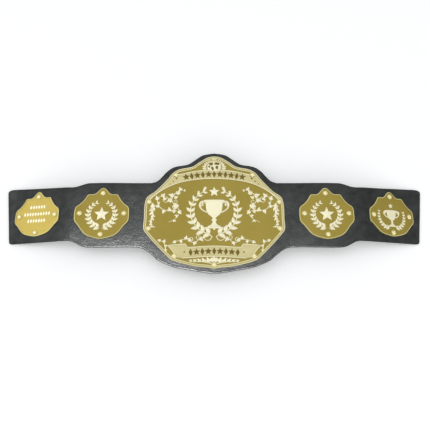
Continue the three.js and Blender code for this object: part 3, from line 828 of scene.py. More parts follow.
STAR = star_mesh(5, 0.46, 0.12)
LOZENGE = star_mesh(2, 0.56, 0.12)
BERRY = bead(1, 1, 0.8)
print("star", len(STAR.polygons), "faces; lozenge", len(LOZENGE.polygons), "faces")

# %% [markdown]
# Wires, leaves and stars of one finish are gathered flat, flattened a little, sunk into the ground, and
# joined into one relief. Most of it is drawn for the right half and mirrored.

# %% Relief
BOLDER = 1.35  # the real wires are this much thinner, but vanish at the size of the render
TIP_LEAF = 0.45  # how much shorter the last leaf of a stem is
WIRE_FLATNESS = 0.8


class Relief:
    """Ornament of one finish that is gathered on a flat plate, piece by piece."""

    def __init__(self):
        self.bm = bmesh.new()
        self.strokes = []

    def wire(self, points, start=0.6, end=0.35, both=True):
        """A stem whose radius runs from start to end, and its mirror image."""
        line = taper(points, BOLDER * start, BOLDER * end)
        self.strokes.append(line)
        if both:
            self.strokes.append([(-x, y, radius) for x, y, radius in line])

    def copy(self, mesh, x, y, turn=0, size=1, both=True, level=GROUND):
        """A copy of a leaf, star or other mesh, and its mirror image."""
        place = flat_place(x, y, level, math.radians(turn), size)
        add_copy(self.bm, mesh, place)
        if both:
            add_copy(self.bm, mesh, Matrix.Diagonal((-1, 1, 1, 1)) @ place)

    def leafy(self, points, start, end, length, pitch, spread=38):
        """A stem with a pair of leaves at every pitch, shorter towards its tip."""
        self.wire(points, start, end)
        places = spaced(spline(points, 5), pitch)
        for i, (point, turn) in enumerate(places):
            size = length * (1 - TIP_LEAF * i / max(1, len(places) - 1))
            for side in (-1, 1):
                self.copy(LEAF, point.x, point.y, math.degrees(turn) + side * spread, size)

    def close(self, name, material, along, level=GROUND, flatness=WIRE_FLATNESS):
        """Add the wires, lay the relief on its plate and finish it."""
        if self.strokes:
            flatten = Matrix.Translation((0, 0, level)) @ Matrix.Diagonal((1, 1, flatness, 1))
            add_copy(self.bm, wire_mesh(self.strokes), flatten)
        finish(self.bm, name, [material], "gold_plate", place=belt_matrix(along))


print("wires are drawn", BOLDER, "times as thick as the real ones")

# %% [markdown]
# The main plate's scrolls follow an acanthus pattern that engravers have long used. It has S-shaped stems
# with bowls that curl off them, and fans of leaves where a stem turns.

# %% Volutes and fans of leaves
VOLUTE_STEPS = 14
VOLUTE_CLOSING = 0.82  # share of its radius by which a volute winds in
BUSHIER = 1.25  # leaves are drawn this much longer, so that they show
OUTER_LEAF = 0.35  # how much shorter the outer leaves of a fan are


def volute(x, y, radius, start, turns):
    """A spiral line that winds inwards, from a place on its rim."""
    line = []
    for i in range(VOLUTE_STEPS + 1):
        share = i / VOLUTE_STEPS
        angle = math.radians(start) + 2 * math.pi * turns * share
        reach = radius * (1 - VOLUTE_CLOSING * share)
        line.append((x + reach * math.cos(angle), y + reach * math.sin(angle)))
    return line


def spray(relief, x, y, turn, count, spread, length):
    """A fan of leaves round a direction, the middle one longest."""
    for i in range(count):
        off = (i / (count - 1) - 0.5) * spread
        size = BUSHIER * length * (1 - OUTER_LEAF * abs(off) / (spread / 2))
        relief.copy(LEAF, x, y, turn + off, size)


def add_scrolls(relief, stems, fans):
    """Stems with their first and last radius, and fans as the rows that spray() takes."""
    for stem in stems:
        relief.wire(*stem)
    for fan in fans:
        spray(relief, *fan)


main_relief = Relief()
print("a volute has", len(volute(0, 0, 5, 0, 1)), "points")

# %% Upper scrolls of the main plate
UPPER_STEMS = [
    (
        [(67, 45), (77, 44), (81, 38), (84, 30), (79, 21), (70, 11), (69, 1), (76, -9), (89, -16)],
        0.9, 0.4,
    ),

    ([(61, 50), (67, 51), (72, 47), (74, 41)], 0.4, 0.7),
    ([(74, 8), (84, 7), (94, 8), (104, 12), (110, 20), (112, 30), (108, 37), (101, 38)], 0.9, 0.5),
    (volute(97, 30, 7, 100, 1.2), 0.6, 0.4),
    (volute(77, 27, 5, -60, -1.1), 0.6, 0.4),
    (volute(79, 14, 4.5, 180, -1), 0.6, 0.4),
]
UPPER_FANS = [
    (74, 42, 120, 3, 80, 9), (81, 38, 20, 3, 90, 9), (84, 30, -20, 3, 90, 9), (80, 22, 200, 3, 70, 8),
    (73, 14, 40, 4, 120, 10), (70, 8, 230, 3, 80, 8), (71, -2, 330, 2, 50, 9), (78, -11, 260, 2, 60, 7),
    (88, 7, 80, 3, 90, 7), (98, 9, 290, 3, 80, 7), (108, 17, 0, 3, 90, 7), (112, 30, 70, 3, 90, 8),
    (104, 37, 130, 3, 90, 8), (97, 30, 60, 3, 100, 7), (61, 50, 170, 2, 50, 6), (66, 50, 60, 3, 100, 7),
    (79, 34, 150, 3, 80, 7), (76, 6, 10, 3, 90, 8), (79, 14, 150, 3, 100, 7), (111, 24, 180, 2, 60, 6),
]
add_scrolls(main_relief, UPPER_STEMS, UPPER_FANS)
print("upper scrolls", len(UPPER_STEMS), "stems", len(UPPER_FANS), "fans")

# %% Leafy column at each side
COLUMN = [(118.5, 15), (123, 5), (120, -6), (124, -16), (122, -24)]
COLUMN_ENDS = [
    ([(113, 14), (116, 18), (121, 14), (125, 16)], 0.5, 0.5),
    ([(115, -26), (122, -24), (128, -27)], 0.9, 0.9),
]
main_relief.leafy(COLUMN, 0.9, 0.8, length=8.5, pitch=6)
add_scrolls(main_relief, COLUMN_ENDS, [(121, 15, 80, 3, 100, 8)])
print("column of", len(COLUMN), "points")

# %% [markdown]
# Low scrolls run above the ribbon, a short one fills the corner outside each of its tails, and a palmette
# grows from the foot of the plate.

# %% Lower scrolls of the main plate
LOW_STEMS = [
    ([(25, -45), (33, -54), (42, -57), (49, -51), (62, -51), (75, -55)], 0.8, 0.4),
    (volute(31, -46, 5.5, 200, 1.2), 0.7, 0.4),
    (volute(45, -50, 4.5, 250, -1.1), 0.7, 0.4),
]
LOW_FANS = [
    (27, -47, 230, 3, 80, 8), (36, -55, 290, 3, 80, 7), (46, -55, 60, 3, 80, 7), (55, -51, 100, 3, 90, 7),
    (64, -52, 260, 3, 80, 6), (73, -55, 340, 3, 70, 7), (31, -42, 90, 3, 90, 7),
]
CORNER_STEMS = [
    ([(104, -53.5), (98, -56), (95, -61.5), (93.5, -70)], 0.5, 0.9),
]
CORNER_FANS = [
    (103, -53.5, 10, 3, 80, 6), (97.5, -57, 110, 3, 80, 6), (95, -63.5, 170, 3, 60, 5),
    (93.5, -70, 250, 3, 80, 5),
]
add_scrolls(main_relief, LOW_STEMS, LOW_FANS)
add_scrolls(main_relief, CORNER_STEMS, CORNER_FANS)
print("lower scrolls", len(LOW_STEMS + CORNER_STEMS), "stems", len(LOW_FANS + CORNER_FANS), "fans")

# %% Palmette and crown leaves
PALMETTE_UP = -95.5
PALMETTE_LEAF = 11
for turn in (90, 64, 38):
    main_relief.copy(LEAF, 1.5, PALMETTE_UP, turn, PALMETTE_LEAF)
for i, x in enumerate((11, 19, 27, 35, 43)):
    spray(main_relief, x, PALMETTE_UP + 0.5 * i, 75 - 14 * i, 3, 110, 8.6 - 0.9 * i)
main_relief.wire([(5, -98), (14, -96), (26, -94.5), (46, -94)], 1.1, 0.5)
main_relief.leafy([(19, 95), (20, 101.5), (16, 109), (9.5, 115)], 0.6, 0.4, length=6.5, pitch=4.4)
main_relief.copy(LEAF, 4, 117, 150, 6)
main_relief.copy(LEAF, 3, 117.5, 30, 5)
print("strokes of the main plate's scrolls", len(main_relief.strokes))

# %% [markdown]
# The middle of the plate shows a plain cup in a laurel wreath with a star above it, a design that many
# trophies share. The cup is turned on a lathe, flattened to a low relief and cut off below, so that it meets
# the ground all round.

# %% Cup
CUP_PROFILE = [
    (0.001, -0.31), (0.15, -0.31), (0.155, -0.3), (0.15, -0.285), (0.12, -0.28), (0.12, -0.262),
    (0.085, -0.25), (0.05, -0.225), (0.03, -0.19), (0.028, -0.165), (0.048, -0.155), (0.048, -0.135),
    (0.028, -0.125), (0.032, -0.1), (0.06, -0.075), (0.105, -0.04), (0.135, 0.01), (0.15, 0.08),
    (0.158, 0.16), (0.166, 0.2), (0.19, 0.21), (0.195, 0.228), (0.19, 0.245), (0.16, 0.25), (0.001, 0.25),
]
CUP_HALF_WIDTH = 0.195  # all shares of the cup's height
HANDLE = [(0.155, 0.19), (0.2, 0.215), (0.25, 0.2), (0.27, 0.14), (0.24, 0.07), (0.19, 0.03), (0.13, 0.0)]
CURL = (0.235, 0.155, 0.035)
CUP_SINK = 0.3


def spin_whole(bm, chain, axis, steps):
    """Turn a chain of vertices once round an axis. A closed chain ends with its first vertex."""
    edges = [bm.edges.new(pair) for pair in zip(chain, chain[1:])]
    geom = list(dict.fromkeys(chain)) + edges
    bmesh.ops.spin(bm, geom=geom, cent=(0, 0, 0), axis=axis, angle=2 * math.pi, steps=steps, use_merge=True)


def close_ends(bm):
    """Fill the open rings that a spin leaves."""
    bmesh.ops.holes_fill(bm, edges=[e for e in bm.edges if len(e.link_faces) == 1], sides=0)


def cup_mesh(height, depth):
    """A turned cup about the Y axis in low relief, closed below."""
    bm = bmesh.new()
    spin_whole(bm, [bm.verts.new((x * height, y * height, 0)) for x, y in CUP_PROFILE], (0, 1, 0), 48)
    bmesh.ops.remove_doubles(bm, verts=bm.verts, dist=1e-4)
    close_ends(bm)
    bmesh.ops.scale(bm, vec=(1, 1, depth / (CUP_HALF_WIDTH * height)), verts=bm.verts)
    cut = bmesh.ops.bisect_plane(
        bm, geom=bm.verts[:] + bm.edges[:] + bm.faces[:], dist=1e-5, plane_co=(0, 0, -CUP_SINK),
        plane_no=(0, 0, 1), clear_inner=True,
    )
    rim = [item for item in cut["geom_cut"] if isinstance(item, bmesh.types.BMEdge)]
    bmesh.ops.holes_fill(bm, edges=rim, sides=0)
    bmesh.ops.recalc_face_normals(bm, faces=bm.faces)
    return as_mesh(bm, "cup")


def add_cup(relief, up, height, depth):
    """A cup with two handles, each with a curl inside."""
    relief.copy(cup_mesh(height, depth), 0, up, both=False)
    relief.wire([(x * height, up + y * height) for x, y in HANDLE], 0.016 * height, 0.012 * height)
    x, y, radius = CURL
    relief.wire(volute(x * height, up + y * height, radius * height, 90, 1.1), 0.012 * height, 0.008 * height)


print("cup profile points", len(CUP_PROFILE))

# %% [markdown]
# The wreath is two leafy branches that meet at the foot, with a berry where each pair of leaves starts. With
# the cup and the stars it makes the emblem, and the scrolls are finished at the same time.

# %% Wreath and emblem of the main plate
BRANCH_FIRST = -80  # degrees from the right, at the foot of a branch and at its tip
BRANCH_LAST = 62
BRANCH_STEPS = 16
BRANCH_THINNING = 0.6
LEAF_SPREAD = 42
BERRY_SHARE = 0.2  # of a leaf's length
EMBLEM_UP = 6
EMBLEM_HEIGHT = 108
WREATH_RADIUS = 0.43  # shares of the emblem's height
CUP_HEIGHT = 0.98
STAR_UP = 0.38
STAR_RADIUS = 0.1


def add_wreath(relief, up, radius, leaf_length, pitch, stem):
    """Two branches with leaves and berries."""
    step = (BRANCH_LAST - BRANCH_FIRST) / BRANCH_STEPS
    turns = [math.radians(BRANCH_FIRST + step * i) for i in range(BRANCH_STEPS + 1)]
    arc = [(radius * math.cos(turn), up + radius * math.sin(turn)) for turn in turns]
    relief.leafy(arc, stem, stem * BRANCH_THINNING, leaf_length, pitch, LEAF_SPREAD)
    for point, turn in spaced(spline(arc, 2), pitch)[1:]:
        relief.copy(BERRY, point.x, point.y, math.degrees(turn), leaf_length * BERRY_SHARE)


emblem = Relief()
add_wreath(emblem, EMBLEM_UP, WREATH_RADIUS * EMBLEM_HEIGHT, leaf_length=17, pitch=12.5, stem=1.1)
add_cup(emblem, EMBLEM_UP - 2, CUP_HEIGHT * EMBLEM_HEIGHT, depth=1.6)
emblem.copy(STAR, 0, EMBLEM_UP + STAR_UP * EMBLEM_HEIGHT, 0, STAR_RADIUS * EMBLEM_HEIGHT, both=False)
for x, y, size in [(18, 49, 4.2), (31, 41, 3.2), (0, -36, 3)]:
    emblem.copy(STAR, x, EMBLEM_UP + y, 0, size)
emblem.wire([(4, -46), (10, -41), (16, -43), (20, -50)], 1.1, 0.7)
emblem.wire([(4, -46), (9, -52), (16, -52), (21, -47)], 0.9, 0.5)
main_relief.close("main_scrolls", relief_gold_painted_highlight, 0)
emblem.close("main_emblem", relief_gold_painted_highlight, 0)

# %% [markdown]
# The banner over the emblem and the ribbon under it are bands of pale metal that stand as high as the rim.
# Their outlines are drawn between two smooth arcs, extruded and bevelled. The ribbon's two tails lie a little
# lower, so that they seem to pass behind it.

# %% Banner and ribbon
BANNER_UPPER = [(0, 0.76), (0.27, 0.737), (0.512, 0.676), (0.6, 0.66)]
BANNER_LOWER = [(0, 0.609), (0.25, 0.594), (0.503, 0.54), (0.686, 0.454), (0.852, 0.325), (0.955, 0.2)]
RIBBON_UPPER = [(0, -0.591), (0.374, -0.617)]
RIBBON_LOWER = [(0, -0.779), (0.444, -0.812)]
TAIL = [
    (51.5, -65), (56, -60), (72, -61.5), (88, -63.5), (82.5, -70.5), (77, -78), (72, -86.5), (61, -88),
    (50, -86),
]
TAIL_DROP = 0.35
BAND_ROOT = 0.5  # how far a band reaches into the ground
BAND_BEVEL = 0.25
RIM_OVERLAP = 0.4
ARC_STEPS = 6


def band(bm, outline, top):
    """A flat raised shape with a small bevel round its top."""
    before = set(bm.faces)
    face = bm.faces.new([bm.verts.new((x, y, GROUND - BAND_ROOT)) for x, y in outline])
    face.normal_update()
    raised = raise_face(bm, face, top - GROUND + BAND_ROOT)
    round_edges(bm, list(raised.edges), BAND_BEVEL)
    bmesh.ops.recalc_face_normals(bm, faces=[f for f in bm.faces if f not in before])


def whole_arc(rows):
    """An arc over the plate from left to right, from its right half."""
    right = on_plate(rows, MAIN)
    return spline(mirrored(right)[:-1] + right, ARC_STEPS)


upper_arc = whole_arc(BANNER_UPPER)
lower_arc = whole_arc(BANNER_LOWER)
ribbon_top = whole_arc(RIBBON_UPPER)
ribbon_foot = whole_arc(RIBBON_LOWER)
inner_edge = inset(main_outline, MAIN_RIM - RIM_OVERLAP)
shoulder = [p for p in inner_edge if p.x > upper_arc[-1].x + 1 and p.y > lower_arc[-1].y + 2]
shoulder.sort(key=lambda point: math.atan2(point.y, point.x))
bands = bmesh.new()
band(bands, lower_arc + shoulder + upper_arc[::-1] + mirrored(shoulder), PLATE_TOP)
band(bands, ribbon_foot + ribbon_top[::-1], PLATE_TOP)
for outline in (TAIL, mirrored(TAIL)):
    band(bands, outline, PLATE_TOP - TAIL_DROP)
finish(bands, "main_banner_and_ribbon", [banner_gold], "gold_plate", place=belt_matrix(0))

# %% [markdown]
# A fine bright wire, half sunk into the metal, runs along each edge of the banner and the ribbon. Two more
# follow the lips of the rim on both sides of the rope. They catch the light as polished edges do, and their
# near-white cream colour is a painted highlight.

# %% Wires along the banner and the ribbon
ARC_WIRE = 0.75
TAIL_WIRE = 0.6
EDGING_FLATNESS = 0.6
edging = Relief()
for arc in (upper_arc, lower_arc, ribbon_top, ribbon_foot):
    edging.strokes.append([(point.x, point.y, ARC_WIRE) for point in arc])
edging.wire(TAIL[1:7], TAIL_WIRE, TAIL_WIRE)
edging.wire([(51.5, -67), (54.5, -62), (56, -60)], TAIL_WIRE, TAIL_WIRE)
edging.close("main_band_edging", relief_gold_painted_highlight, 0, PLATE_TOP, EDGING_FLATNESS)

# %% Bright lips of the rim
LIP_INSETS = (0.9, 4.7)
LIP_RADIUS = 0.5
LIP_FLATNESS = 0.5
lips = Relief()
for distance in LIP_INSETS:
    lip = inset(main_outline, distance)
    lips.strokes.append([(point.x, point.y, LIP_RADIUS) for point in lip + lip[:1]])
lips.close("main_rim_lips", relief_gold_painted_highlight, 0, PLATE_TOP, LIP_FLATNESS)

# %% [markdown]
# A row of stars and lozenges in darkened metal runs along the banner and the ribbon. Each is turned to follow
# the arc. Smaller stars fill the banner's shoulders and the ribbon's tails.

# %% Marks in darkened metal
BANNER_MIDDLE = [(0, 0.684), (0.22, 0.668), (0.41, 0.634)]
BANNER_MARK = 7.2
BANNER_PITCH = 11.3
RIBBON_MARK = 7
RIBBON_PITCH = 10.9
SHOULDER_STARS = [(75.5, 75.5, 2.6), (82, 69.5, 2), (88.5, 63.5, 1.6)]
TAIL_STAR = (57, -76, 2.4)


def add_marks(relief, places, pair, size):
    """Two shapes in turn at places along an arc."""
    for i, (point, turn) in enumerate(places):
        relief.copy(pair[i % 2], point.x, point.y, math.degrees(turn), size, both=False, level=PLATE_TOP)


marks = Relief()
add_marks(marks, spaced(whole_arc(BANNER_MIDDLE), BANNER_PITCH), (STAR, LOZENGE), BANNER_MARK)
for x, y, size in SHOULDER_STARS:
    marks.copy(STAR, x, y, 0, size, level=PLATE_TOP)
ribbon_middle = [(a + b) / 2 for a, b in zip(ribbon_top, ribbon_foot)]
add_marks(marks, spaced(ribbon_middle, RIBBON_PITCH)[1:-1], (LOZENGE, STAR), RIBBON_MARK)
x, y, size = TAIL_STAR
marks.copy(STAR, x, y, 0, size, level=PLATE_TOP - TAIL_DROP)
marks.close("main_dark_marks", dark_gold, 0)

# %% [markdown]
# A small globe sits in the crown. It is a shallow dome, spun from a quarter of an oval, with raised meridians
# and parallels, and a few rounded patches of land that belong to no real map.

# %% Globe
GLOBE_UP = 0.825 * MAIN["crown"]
GLOBE_RADIUS = 14
GLOBE_HEIGHT = 2.6
GLOBE_SKIRT = 0.5  # how far it reaches into the ground
DOME_STEPS = 12
GLOBE_PLACE = belt_matrix(0) @ Matrix.Translation((0, GLOBE_UP, GROUND))


def spun(profile, steps):
    """A turned solid about the upright axis from a profile of radius and height, with closed ends."""
    bm = bmesh.new()
    spin_whole(bm, [bm.verts.new((radius, 0, height)) for radius, height in profile], (0, 0, 1), steps)
    bmesh.ops.remove_doubles(bm, verts=bm.verts, dist=5e-3)
    close_ends(bm)
    bmesh.ops.recalc_face_normals(bm, faces=bm.faces)
    return bm


globe_profile = [(GLOBE_RADIUS, -GLOBE_SKIRT)]
for i in range(DOME_STEPS + 1):
    turn = math.pi / 2 * i / DOME_STEPS
    globe_profile.append((GLOBE_RADIUS * math.cos(turn), GLOBE_HEIGHT * math.sin(turn)))
finish(spun(globe_profile, 64), "main_globe", [relief_gold_painted_highlight], "gold_plate", place=GLOBE_PLACE)

# %% Lines on the globe
LINE_SHARES = (-0.75, -0.4, 0, 0.4, 0.75)
LINE_STEPS = 16
LINE_RADIUS = 0.28
LINE_PROUD = 0.05
PARALLEL_BOW = 2.2
RING_RADIUS = 0.7
RING_STEPS = 48
RING_GAP = 0.4  # from the dome's edge to the ring's middle, and to the ends of the lines


def dome_height(distance):
    """Height of the globe's surface above the ground at a distance from its middle."""
    share = min(1, distance / GLOBE_RADIUS)
    return GLOBE_HEIGHT * math.sqrt(max(0, 1 - share * share))


def make_globe_lines():
    """Meridians and bowed parallels on the dome, and a ring round its foot."""
    reach = GLOBE_RADIUS - RING_GAP
    edge = GLOBE_RADIUS + RING_GAP
    strokes = []
    turns = [math.radians(-90 + 180 * i / LINE_STEPS) for i in range(LINE_STEPS + 1)]
    for share in LINE_SHARES:
        strokes.append([(share * reach * math.cos(t), reach * math.sin(t), LINE_RADIUS) for t in turns])
        half = reach * math.sqrt(1 - share * share)
        strokes.append([
            (half * math.sin(t), share * reach + PARALLEL_BOW * (math.cos(t) - 1), LINE_RADIUS) for t in turns
        ])
    bm = bmesh.new()
    add_copy(bm, wire_mesh(strokes, 1), Matrix.Identity(4))
    for vert in bm.verts:
        vert.co.z += dome_height(vert.co.xy.length) + LINE_PROUD
    turns = [math.radians(360 * i / RING_STEPS) for i in range(RING_STEPS + 1)]
    ring = wire_mesh([[(edge * math.cos(t), edge * math.sin(t), RING_RADIUS) for t in turns]])
    add_copy(bm, ring, Matrix.Identity(4))
    finish(bm, "main_globe_lines", [pale_gold], "gold_plate", place=GLOBE_PLACE)


make_globe_lines()

# %% Lands on the globe
LANDS = [  # middle, half width, half height and lobes of each
    (-6.5, 4.5, 4.2, 3.1, 3), (-3.5, -5.5, 2.4, 4.2, 2), (5.5, 5, 5, 2.8, 4), (5.5, -3.5, 2.8, 3.6, 3),
    (-10, -1.5, 1.8, 2.4, 2),
]
LAND_SIDES = 24
LOBE = 0.16
RIPPLE = 0.09
RIPPLES = 5
LAND_ROOT = 0.3
LAND_THICKNESS = 0.75


def make_lands():
    """Patches with a rippled edge, raised from the dome."""
    bm = bmesh.new()
    for x, y, half_x, half_y, lobes in LANDS:
        before = len(bm.verts)
        bmesh.ops.create_circle(bm, cap_ends=True, cap_tris=True, segments=LAND_SIDES, radius=1)
        bm.verts.ensure_lookup_table()
        for vert in bm.verts[before:]:
            turn = math.atan2(vert.co.y, vert.co.x)
            reach = 1 + LOBE * math.sin(lobes * turn + x) + RIPPLE * math.sin(RIPPLES * turn + y)
            vert.co = (x + vert.co.x * half_x * reach, y + vert.co.y * half_y * reach, 0)
    bmesh.ops.subdivide_edges(bm, edges=bm.edges[:], cuts=1, use_grid_fill=True)
    made = bmesh.ops.extrude_face_region(bm, geom=bm.faces[:])["geom"]
    upper = [item for item in made if isinstance(item, bmesh.types.BMVert)]
    for vert in bm.verts:
        vert.co.z = dome_height(vert.co.xy.length) - LAND_ROOT
    bmesh.ops.translate(bm, verts=upper, vec=(0, 0, LAND_THICKNESS))
    finish(bm, "main_globe_lands", [dark_gold], "gold_plate", place=GLOBE_PLACE)


make_lands()

# %% [markdown]
# Each side plate has its own small relief: a star in a wreath on the inner pair, a cup with a star on the
# outer right plate, and three rows of lozenges on the outer left one.

# %% Reliefs of the side plates
SIDE_HEIGHT = 62
SIDE_STAR = 15
LOZENGE_ROWS = ((20, 6), (5.5, 10), (-8.5, 7))  # height and how many
LOZENGE_PITCH = 5.9
LOZENGE_SIZE = 4.7
for plate_name, along in (("inner_left", -INNER_CENTRE), ("inner_right", INNER_CENTRE)):
    relief = Relief()
    add_wreath(relief, 0, WREATH_RADIUS * SIDE_HEIGHT, leaf_length=11.5, pitch=8.6, stem=0.8)
    relief.copy(STAR, 0, 0, 0, SIDE_STAR, both=False)
    relief.wire([(3, -27), (7, -31), (12, -30)], 0.7, 0.4)
    relief.close(f"{plate_name}_relief", relief_gold_painted_highlight, along)
relief = Relief()
add_cup(relief, -2, SIDE_HEIGHT, depth=1.1)
relief.copy(STAR, 0, 0.36 * SIDE_HEIGHT, 0, 5.5, both=False)
relief.leafy([(8, -24), (17, -21), (25, -12), (28, 0), (27, 9)], 0.6, 0.4, length=8, pitch=6)
relief.close("outer_right_relief", relief_gold_painted_highlight, OUTER_CENTRE)
relief = Relief()
for up, count in LOZENGE_ROWS:
    for i in range(count):
        relief.copy(LOZENGE, (i - (count - 1) / 2) * LOZENGE_PITCH, up, 0, LOZENGE_SIZE, both=False)
relief.close("outer_left_relief", relief_gold_painted_highlight, -OUTER_CENTRE)

# %% [markdown]
# The plates are held by two-part screws: a domed nut on the face and a slotted cap behind the leather. The
# dome and shank are one profile, spun round the axis. The cap's slot is cut by two planes, and the strip
# between them is pushed in.

# %% Screws
MAIN_SCREWS = [
    (-0.558, 0.67), (0.558, 0.67), (-0.935, 0.21), (0.935, 0.21), (-0.93, -0.266), (0.93, -0.266),
    (-0.557, -0.775), (0.557, -0.775), (0, -0.928),
]
SIDE_SCREWS = [(0, 0.8), (-0.81, 0.04), (0.81, 0.04), (0, -0.81)]
HEAD = [
    (1.7, -3.3), (1.7, 3.35), (4.2, 3.35), (4.2, 3.7), (4.05, 4.0), (3.6, 4.55), (2.9, 4.98), (2.0, 5.24),
    (1.0, 5.37), (0.001, 5.4),
]
SCREWED = [
    ("main", MAIN_SCREWS, MAIN, 0), ("inner_left", SIDE_SCREWS, INNER, -INNER_CENTRE),
    ("inner_right", SIDE_SCREWS, INNER, INNER_CENTRE), ("outer_left", SIDE_SCREWS, OUTER, -OUTER_CENTRE),
    ("outer_right", SIDE_SCREWS, OUTER, OUTER_CENTRE),
]
SLOT_TURNS = (20, 75, 130, 5, 50, 160, 95, 35, 110)
TURNED_SIDES = 32
BACK = -STRAP_THICKNESS - CLEARANCE
CAP_RADIUS = 4
CAP_HEIGHT = 1
CAP_BEVEL = 0.3
SLOT_HALF_WIDTH = 0.55
SLOT_DEPTH = 0.5


def faces_at(bm, height):
    """The faces that lie flat at a height."""
    return [f for f in bm.faces if all(abs(v.co.z - height) < 1e-4 for v in f.verts)]


def screw_mesh():
    """A domed nut with its shank, and the slotted cap behind it."""
    bm = spun(HEAD, TURNED_SIDES)
    before = set(bm.faces)
    disc = bmesh.ops.create_circle(bm, cap_ends=True, segments=TURNED_SIDES, radius=CAP_RADIUS)["verts"]
    bmesh.ops.translate(bm, verts=disc, vec=(0, 0, BACK))
    face = [f for f in bm.faces if f not in before][0]
    round_edges(bm, list(raise_face(bm, face, -CAP_HEIGHT).edges), CAP_BEVEL)
    for y in (-SLOT_HALF_WIDTH, SLOT_HALF_WIDTH):
        cap = faces_at(bm, BACK - CAP_HEIGHT)
        geom = cap + list({edge for f in cap for edge in f.edges}) + list({v for f in cap for v in f.verts})
        bmesh.ops.bisect_plane(bm, geom=geom, dist=1e-5, plane_co=(0, y, 0), plane_no=(0, 1, 0))
    slot = min(faces_at(bm, BACK - CAP_HEIGHT), key=lambda f: abs(f.calc_center_median().y))
    raise_face(bm, slot, SLOT_DEPTH)
    bmesh.ops.recalc_face_normals(bm, faces=bm.faces)
    return as_mesh(bm, "screw")


def add_screws(plate, rows, size, along):
    """A piece for each screw of a plate, its slot at a turn of its own."""
    for i, (point, turn) in enumerate(zip(on_plate(rows, size), SLOT_TURNS)):
        bm = bmesh.new()
        add_copy(bm, SCREW, flat_place(point.x, point.y, 0, math.radians(turn)))
        node = f"{plate}_screw_{i + 1}"
        finish(bm, f"{node}_turned", [screw_brass], "screw_brass", node, place=belt_matrix(along))


SCREW = screw_mesh()
for row in SCREWED:
    add_screws(*row)

# %% [markdown]
# A raised seat surrounds every screw, so that its head meets flat metal and not the ornament. One ring is
# spun from its section and copied to each place.

# %% Screw seats
SEAT_ROOT = 0.5
SEAT_SECTION = [
    (2.0, GROUND - SEAT_ROOT), (2.0, PLATE_TOP), (4.9, PLATE_TOP), (5.15, 2.95), (5.2, GROUND - SEAT_ROOT),
]


def seat_mesh():
    """A ring with a small chamfer."""
    bm = bmesh.new()
    chain = [bm.verts.new((radius, 0, height)) for radius, height in SEAT_SECTION]
    spin_whole(bm, chain + chain[:1], (0, 0, 1), TURNED_SIDES)
    bmesh.ops.remove_doubles(bm, verts=bm.verts, dist=1e-4)
    return as_mesh(bm, "seat")


def add_seats(plate, rows, size, along):
    """The seats of one plate, as one piece."""
    bm = bmesh.new()
    for point in on_plate(rows, size):
        add_copy(bm, SEAT, flat_place(point.x, point.y))
    finish(bm, f"{plate}_screw_seats", [pale_gold], "gold_plate", place=belt_matrix(along))


SEAT = seat_mesh()
for row in SCREWED:
    add_seats(*row)

# %% [markdown]
# The belt is closed by press studs, which sit on the back of its ends. Each is a drawn steel socket with a
# rolled lip, nickel-plated, on a post through the leather. The whole profile is spun in one go.

# %% Press studs
STUD = [
    (0.001, -4.3), (2.5, -4.3), (2.8, -4.6), (2.8, -6.0), (3.1, -6.3), (4.3, -6.3), (4.7, -6.0), (4.8, -5.5),
    (4.8, -4.4), (5.1, -4.1), (6.7, -4.1), (7.0, -3.9), (7.0, -3.5), (6.8, -3.3), (2.0, -3.3), (2.0, -0.1),
    (1.8, -0.02), (0.001, -0.02),
]
STUD_INSET = 10  # from the outer plate's middle towards the middle of the belt
STUD_HEIGHTS = {"upper": 22, "lower": -12}
for side, along in (("left", -OUTER_CENTRE + STUD_INSET), ("right", OUTER_CENTRE - STUD_INSET)):
    for level, y in STUD_HEIGHTS.items():
        name = f"stud_{side}_{level}"
        socket = spun(STUD, TURNED_SIDES)
        finish(socket, f"{name}_socket", [stud_nickel], "stud_nickel", name, place=belt_matrix(along, y))

# %% [markdown]
# The floor is plain and pale. It glows a little, so that it comes out as white as a lit sweep of paper does.

# %% Floor
FLOOR_HALF = 6
FLOOR_DROP = 0.0002  # below the belt, so that the two don't share a plane


def make_floor():
    bm = bmesh.new()
    bmesh.ops.create_grid(bm, x_segments=1, y_segments=1, size=FLOOR_HALF)
    floor = bpy.data.objects.new("floor", as_mesh(bm, "floor"))
    floor.location.z = -FLOOR_DROP
    bpy.context.scene.collection.objects.link(floor)
    material, tree, shader, place = new_material("pale_floor")
    shader.inputs["Base Color"].default_value = linear("#ffffff")
    shader.inputs["Roughness"].default_value = 0.9
    shader.inputs["Emission Color"].default_value = linear("#ffffff")
    shader.inputs["Emission Strength"].default_value = 0.12
    floor.data.materials.append(material)


make_floor()
print("floor", 2 * FLOOR_HALF, "m wide")

# %% [markdown]
# A pale dome and large soft boxes light the belt, as in a product photograph. Black leather needs far more
# light than gold does. So one strong softbox reaches the leather alone, as if a flag kept it off the metal:
# its light linking names the hide and the stitching.

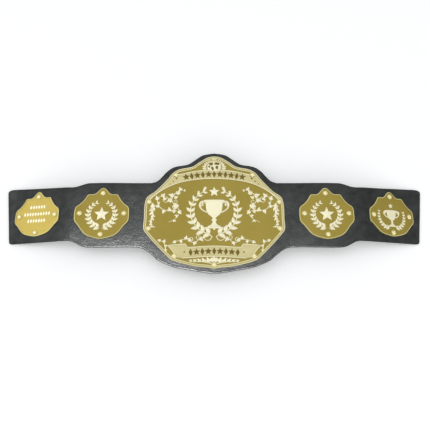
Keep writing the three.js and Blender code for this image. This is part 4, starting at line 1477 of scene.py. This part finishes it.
# %% Lights
DOME_STRENGTH = 0.85
SOFTBOXES = [  # name, place, target, width and height in metres, power in watts
    ("softbox_above", (0, 0.5, 1.9), (0, 0, 0), (2.4, 1.2), 2.4),
    ("softbox_left", (-1.5, 0.35, 1.35), (-0.1, 0, 0), (0.7, 1.0), 2),
    ("softbox_front", (0.5, -2.1, 0.9), (0, 0, 0), (1.8, 0.8), 8),
    ("softbox_right", (2.1, -0.6, 0.8), (0, 0, 0), (0.8, 1.0), 2),
    ("softbox_for_leather", (-0.2, -0.4, 1.9), (0, 0, 0), (1.3, 0.4), 165),
]


def add_softbox(name, place, target, size, power):
    light = bpy.data.lights.new(name, "AREA")
    light.shape = "RECTANGLE"
    light.size, light.size_y = size
    light.energy = power
    lamp = bpy.data.objects.new(name, light)
    lamp.location = place
    lamp.rotation_euler = (Vector(target) - Vector(place)).to_track_quat("-Z", "Y").to_euler()
    bpy.context.scene.collection.objects.link(lamp)
    return lamp


lamps = {row[0]: add_softbox(*row) for row in SOFTBOXES}
leather_only = bpy.data.collections.new("lit_by_leather_softbox")
leather_only.objects.link(strap_hide)
leather_only.objects.link(strap_stitching)
lamps["softbox_for_leather"].light_linking.receiver_collection = leather_only
world = bpy.data.worlds.new("studio")
world.use_nodes = True
world.node_tree.nodes["Background"].inputs["Color"].default_value = linear("#f1f3f4")
world.node_tree.nodes["Background"].inputs["Strength"].default_value = DOME_STRENGTH
bpy.context.scene.world = world
bpy.context.scene.view_settings.view_transform = "Standard"
print("lights", len(lamps))

# %% [markdown]
# The camera looks down at the belt from the front, 18 degrees off straight down. Its lens follows from the
# length in pixels over which the picture's perspective converges.

# %% Camera
AIM = Vector((0.0016, -0.00755, 0.0283))
ELEVATION = math.radians(72)
DISTANCE = 0.959
FOCAL_PIXELS = 487
FRAME_PIXELS = 430
SENSOR_WIDTH = 36
camera_data = bpy.data.cameras.new("camera")
camera_data.sensor_width = SENSOR_WIDTH
camera_data.lens = SENSOR_WIDTH * FOCAL_PIXELS / FRAME_PIXELS
camera = bpy.data.objects.new("camera", camera_data)
back = Vector((0, -math.cos(ELEVATION), math.sin(ELEVATION)))
camera.location = AIM + back * DISTANCE
camera.rotation_euler = (-back).to_track_quat("-Z", "Y").to_euler()
bpy.context.scene.collection.objects.link(camera)
bpy.context.scene.camera = camera
print("camera at", [round(value, 4) for value in camera.location])
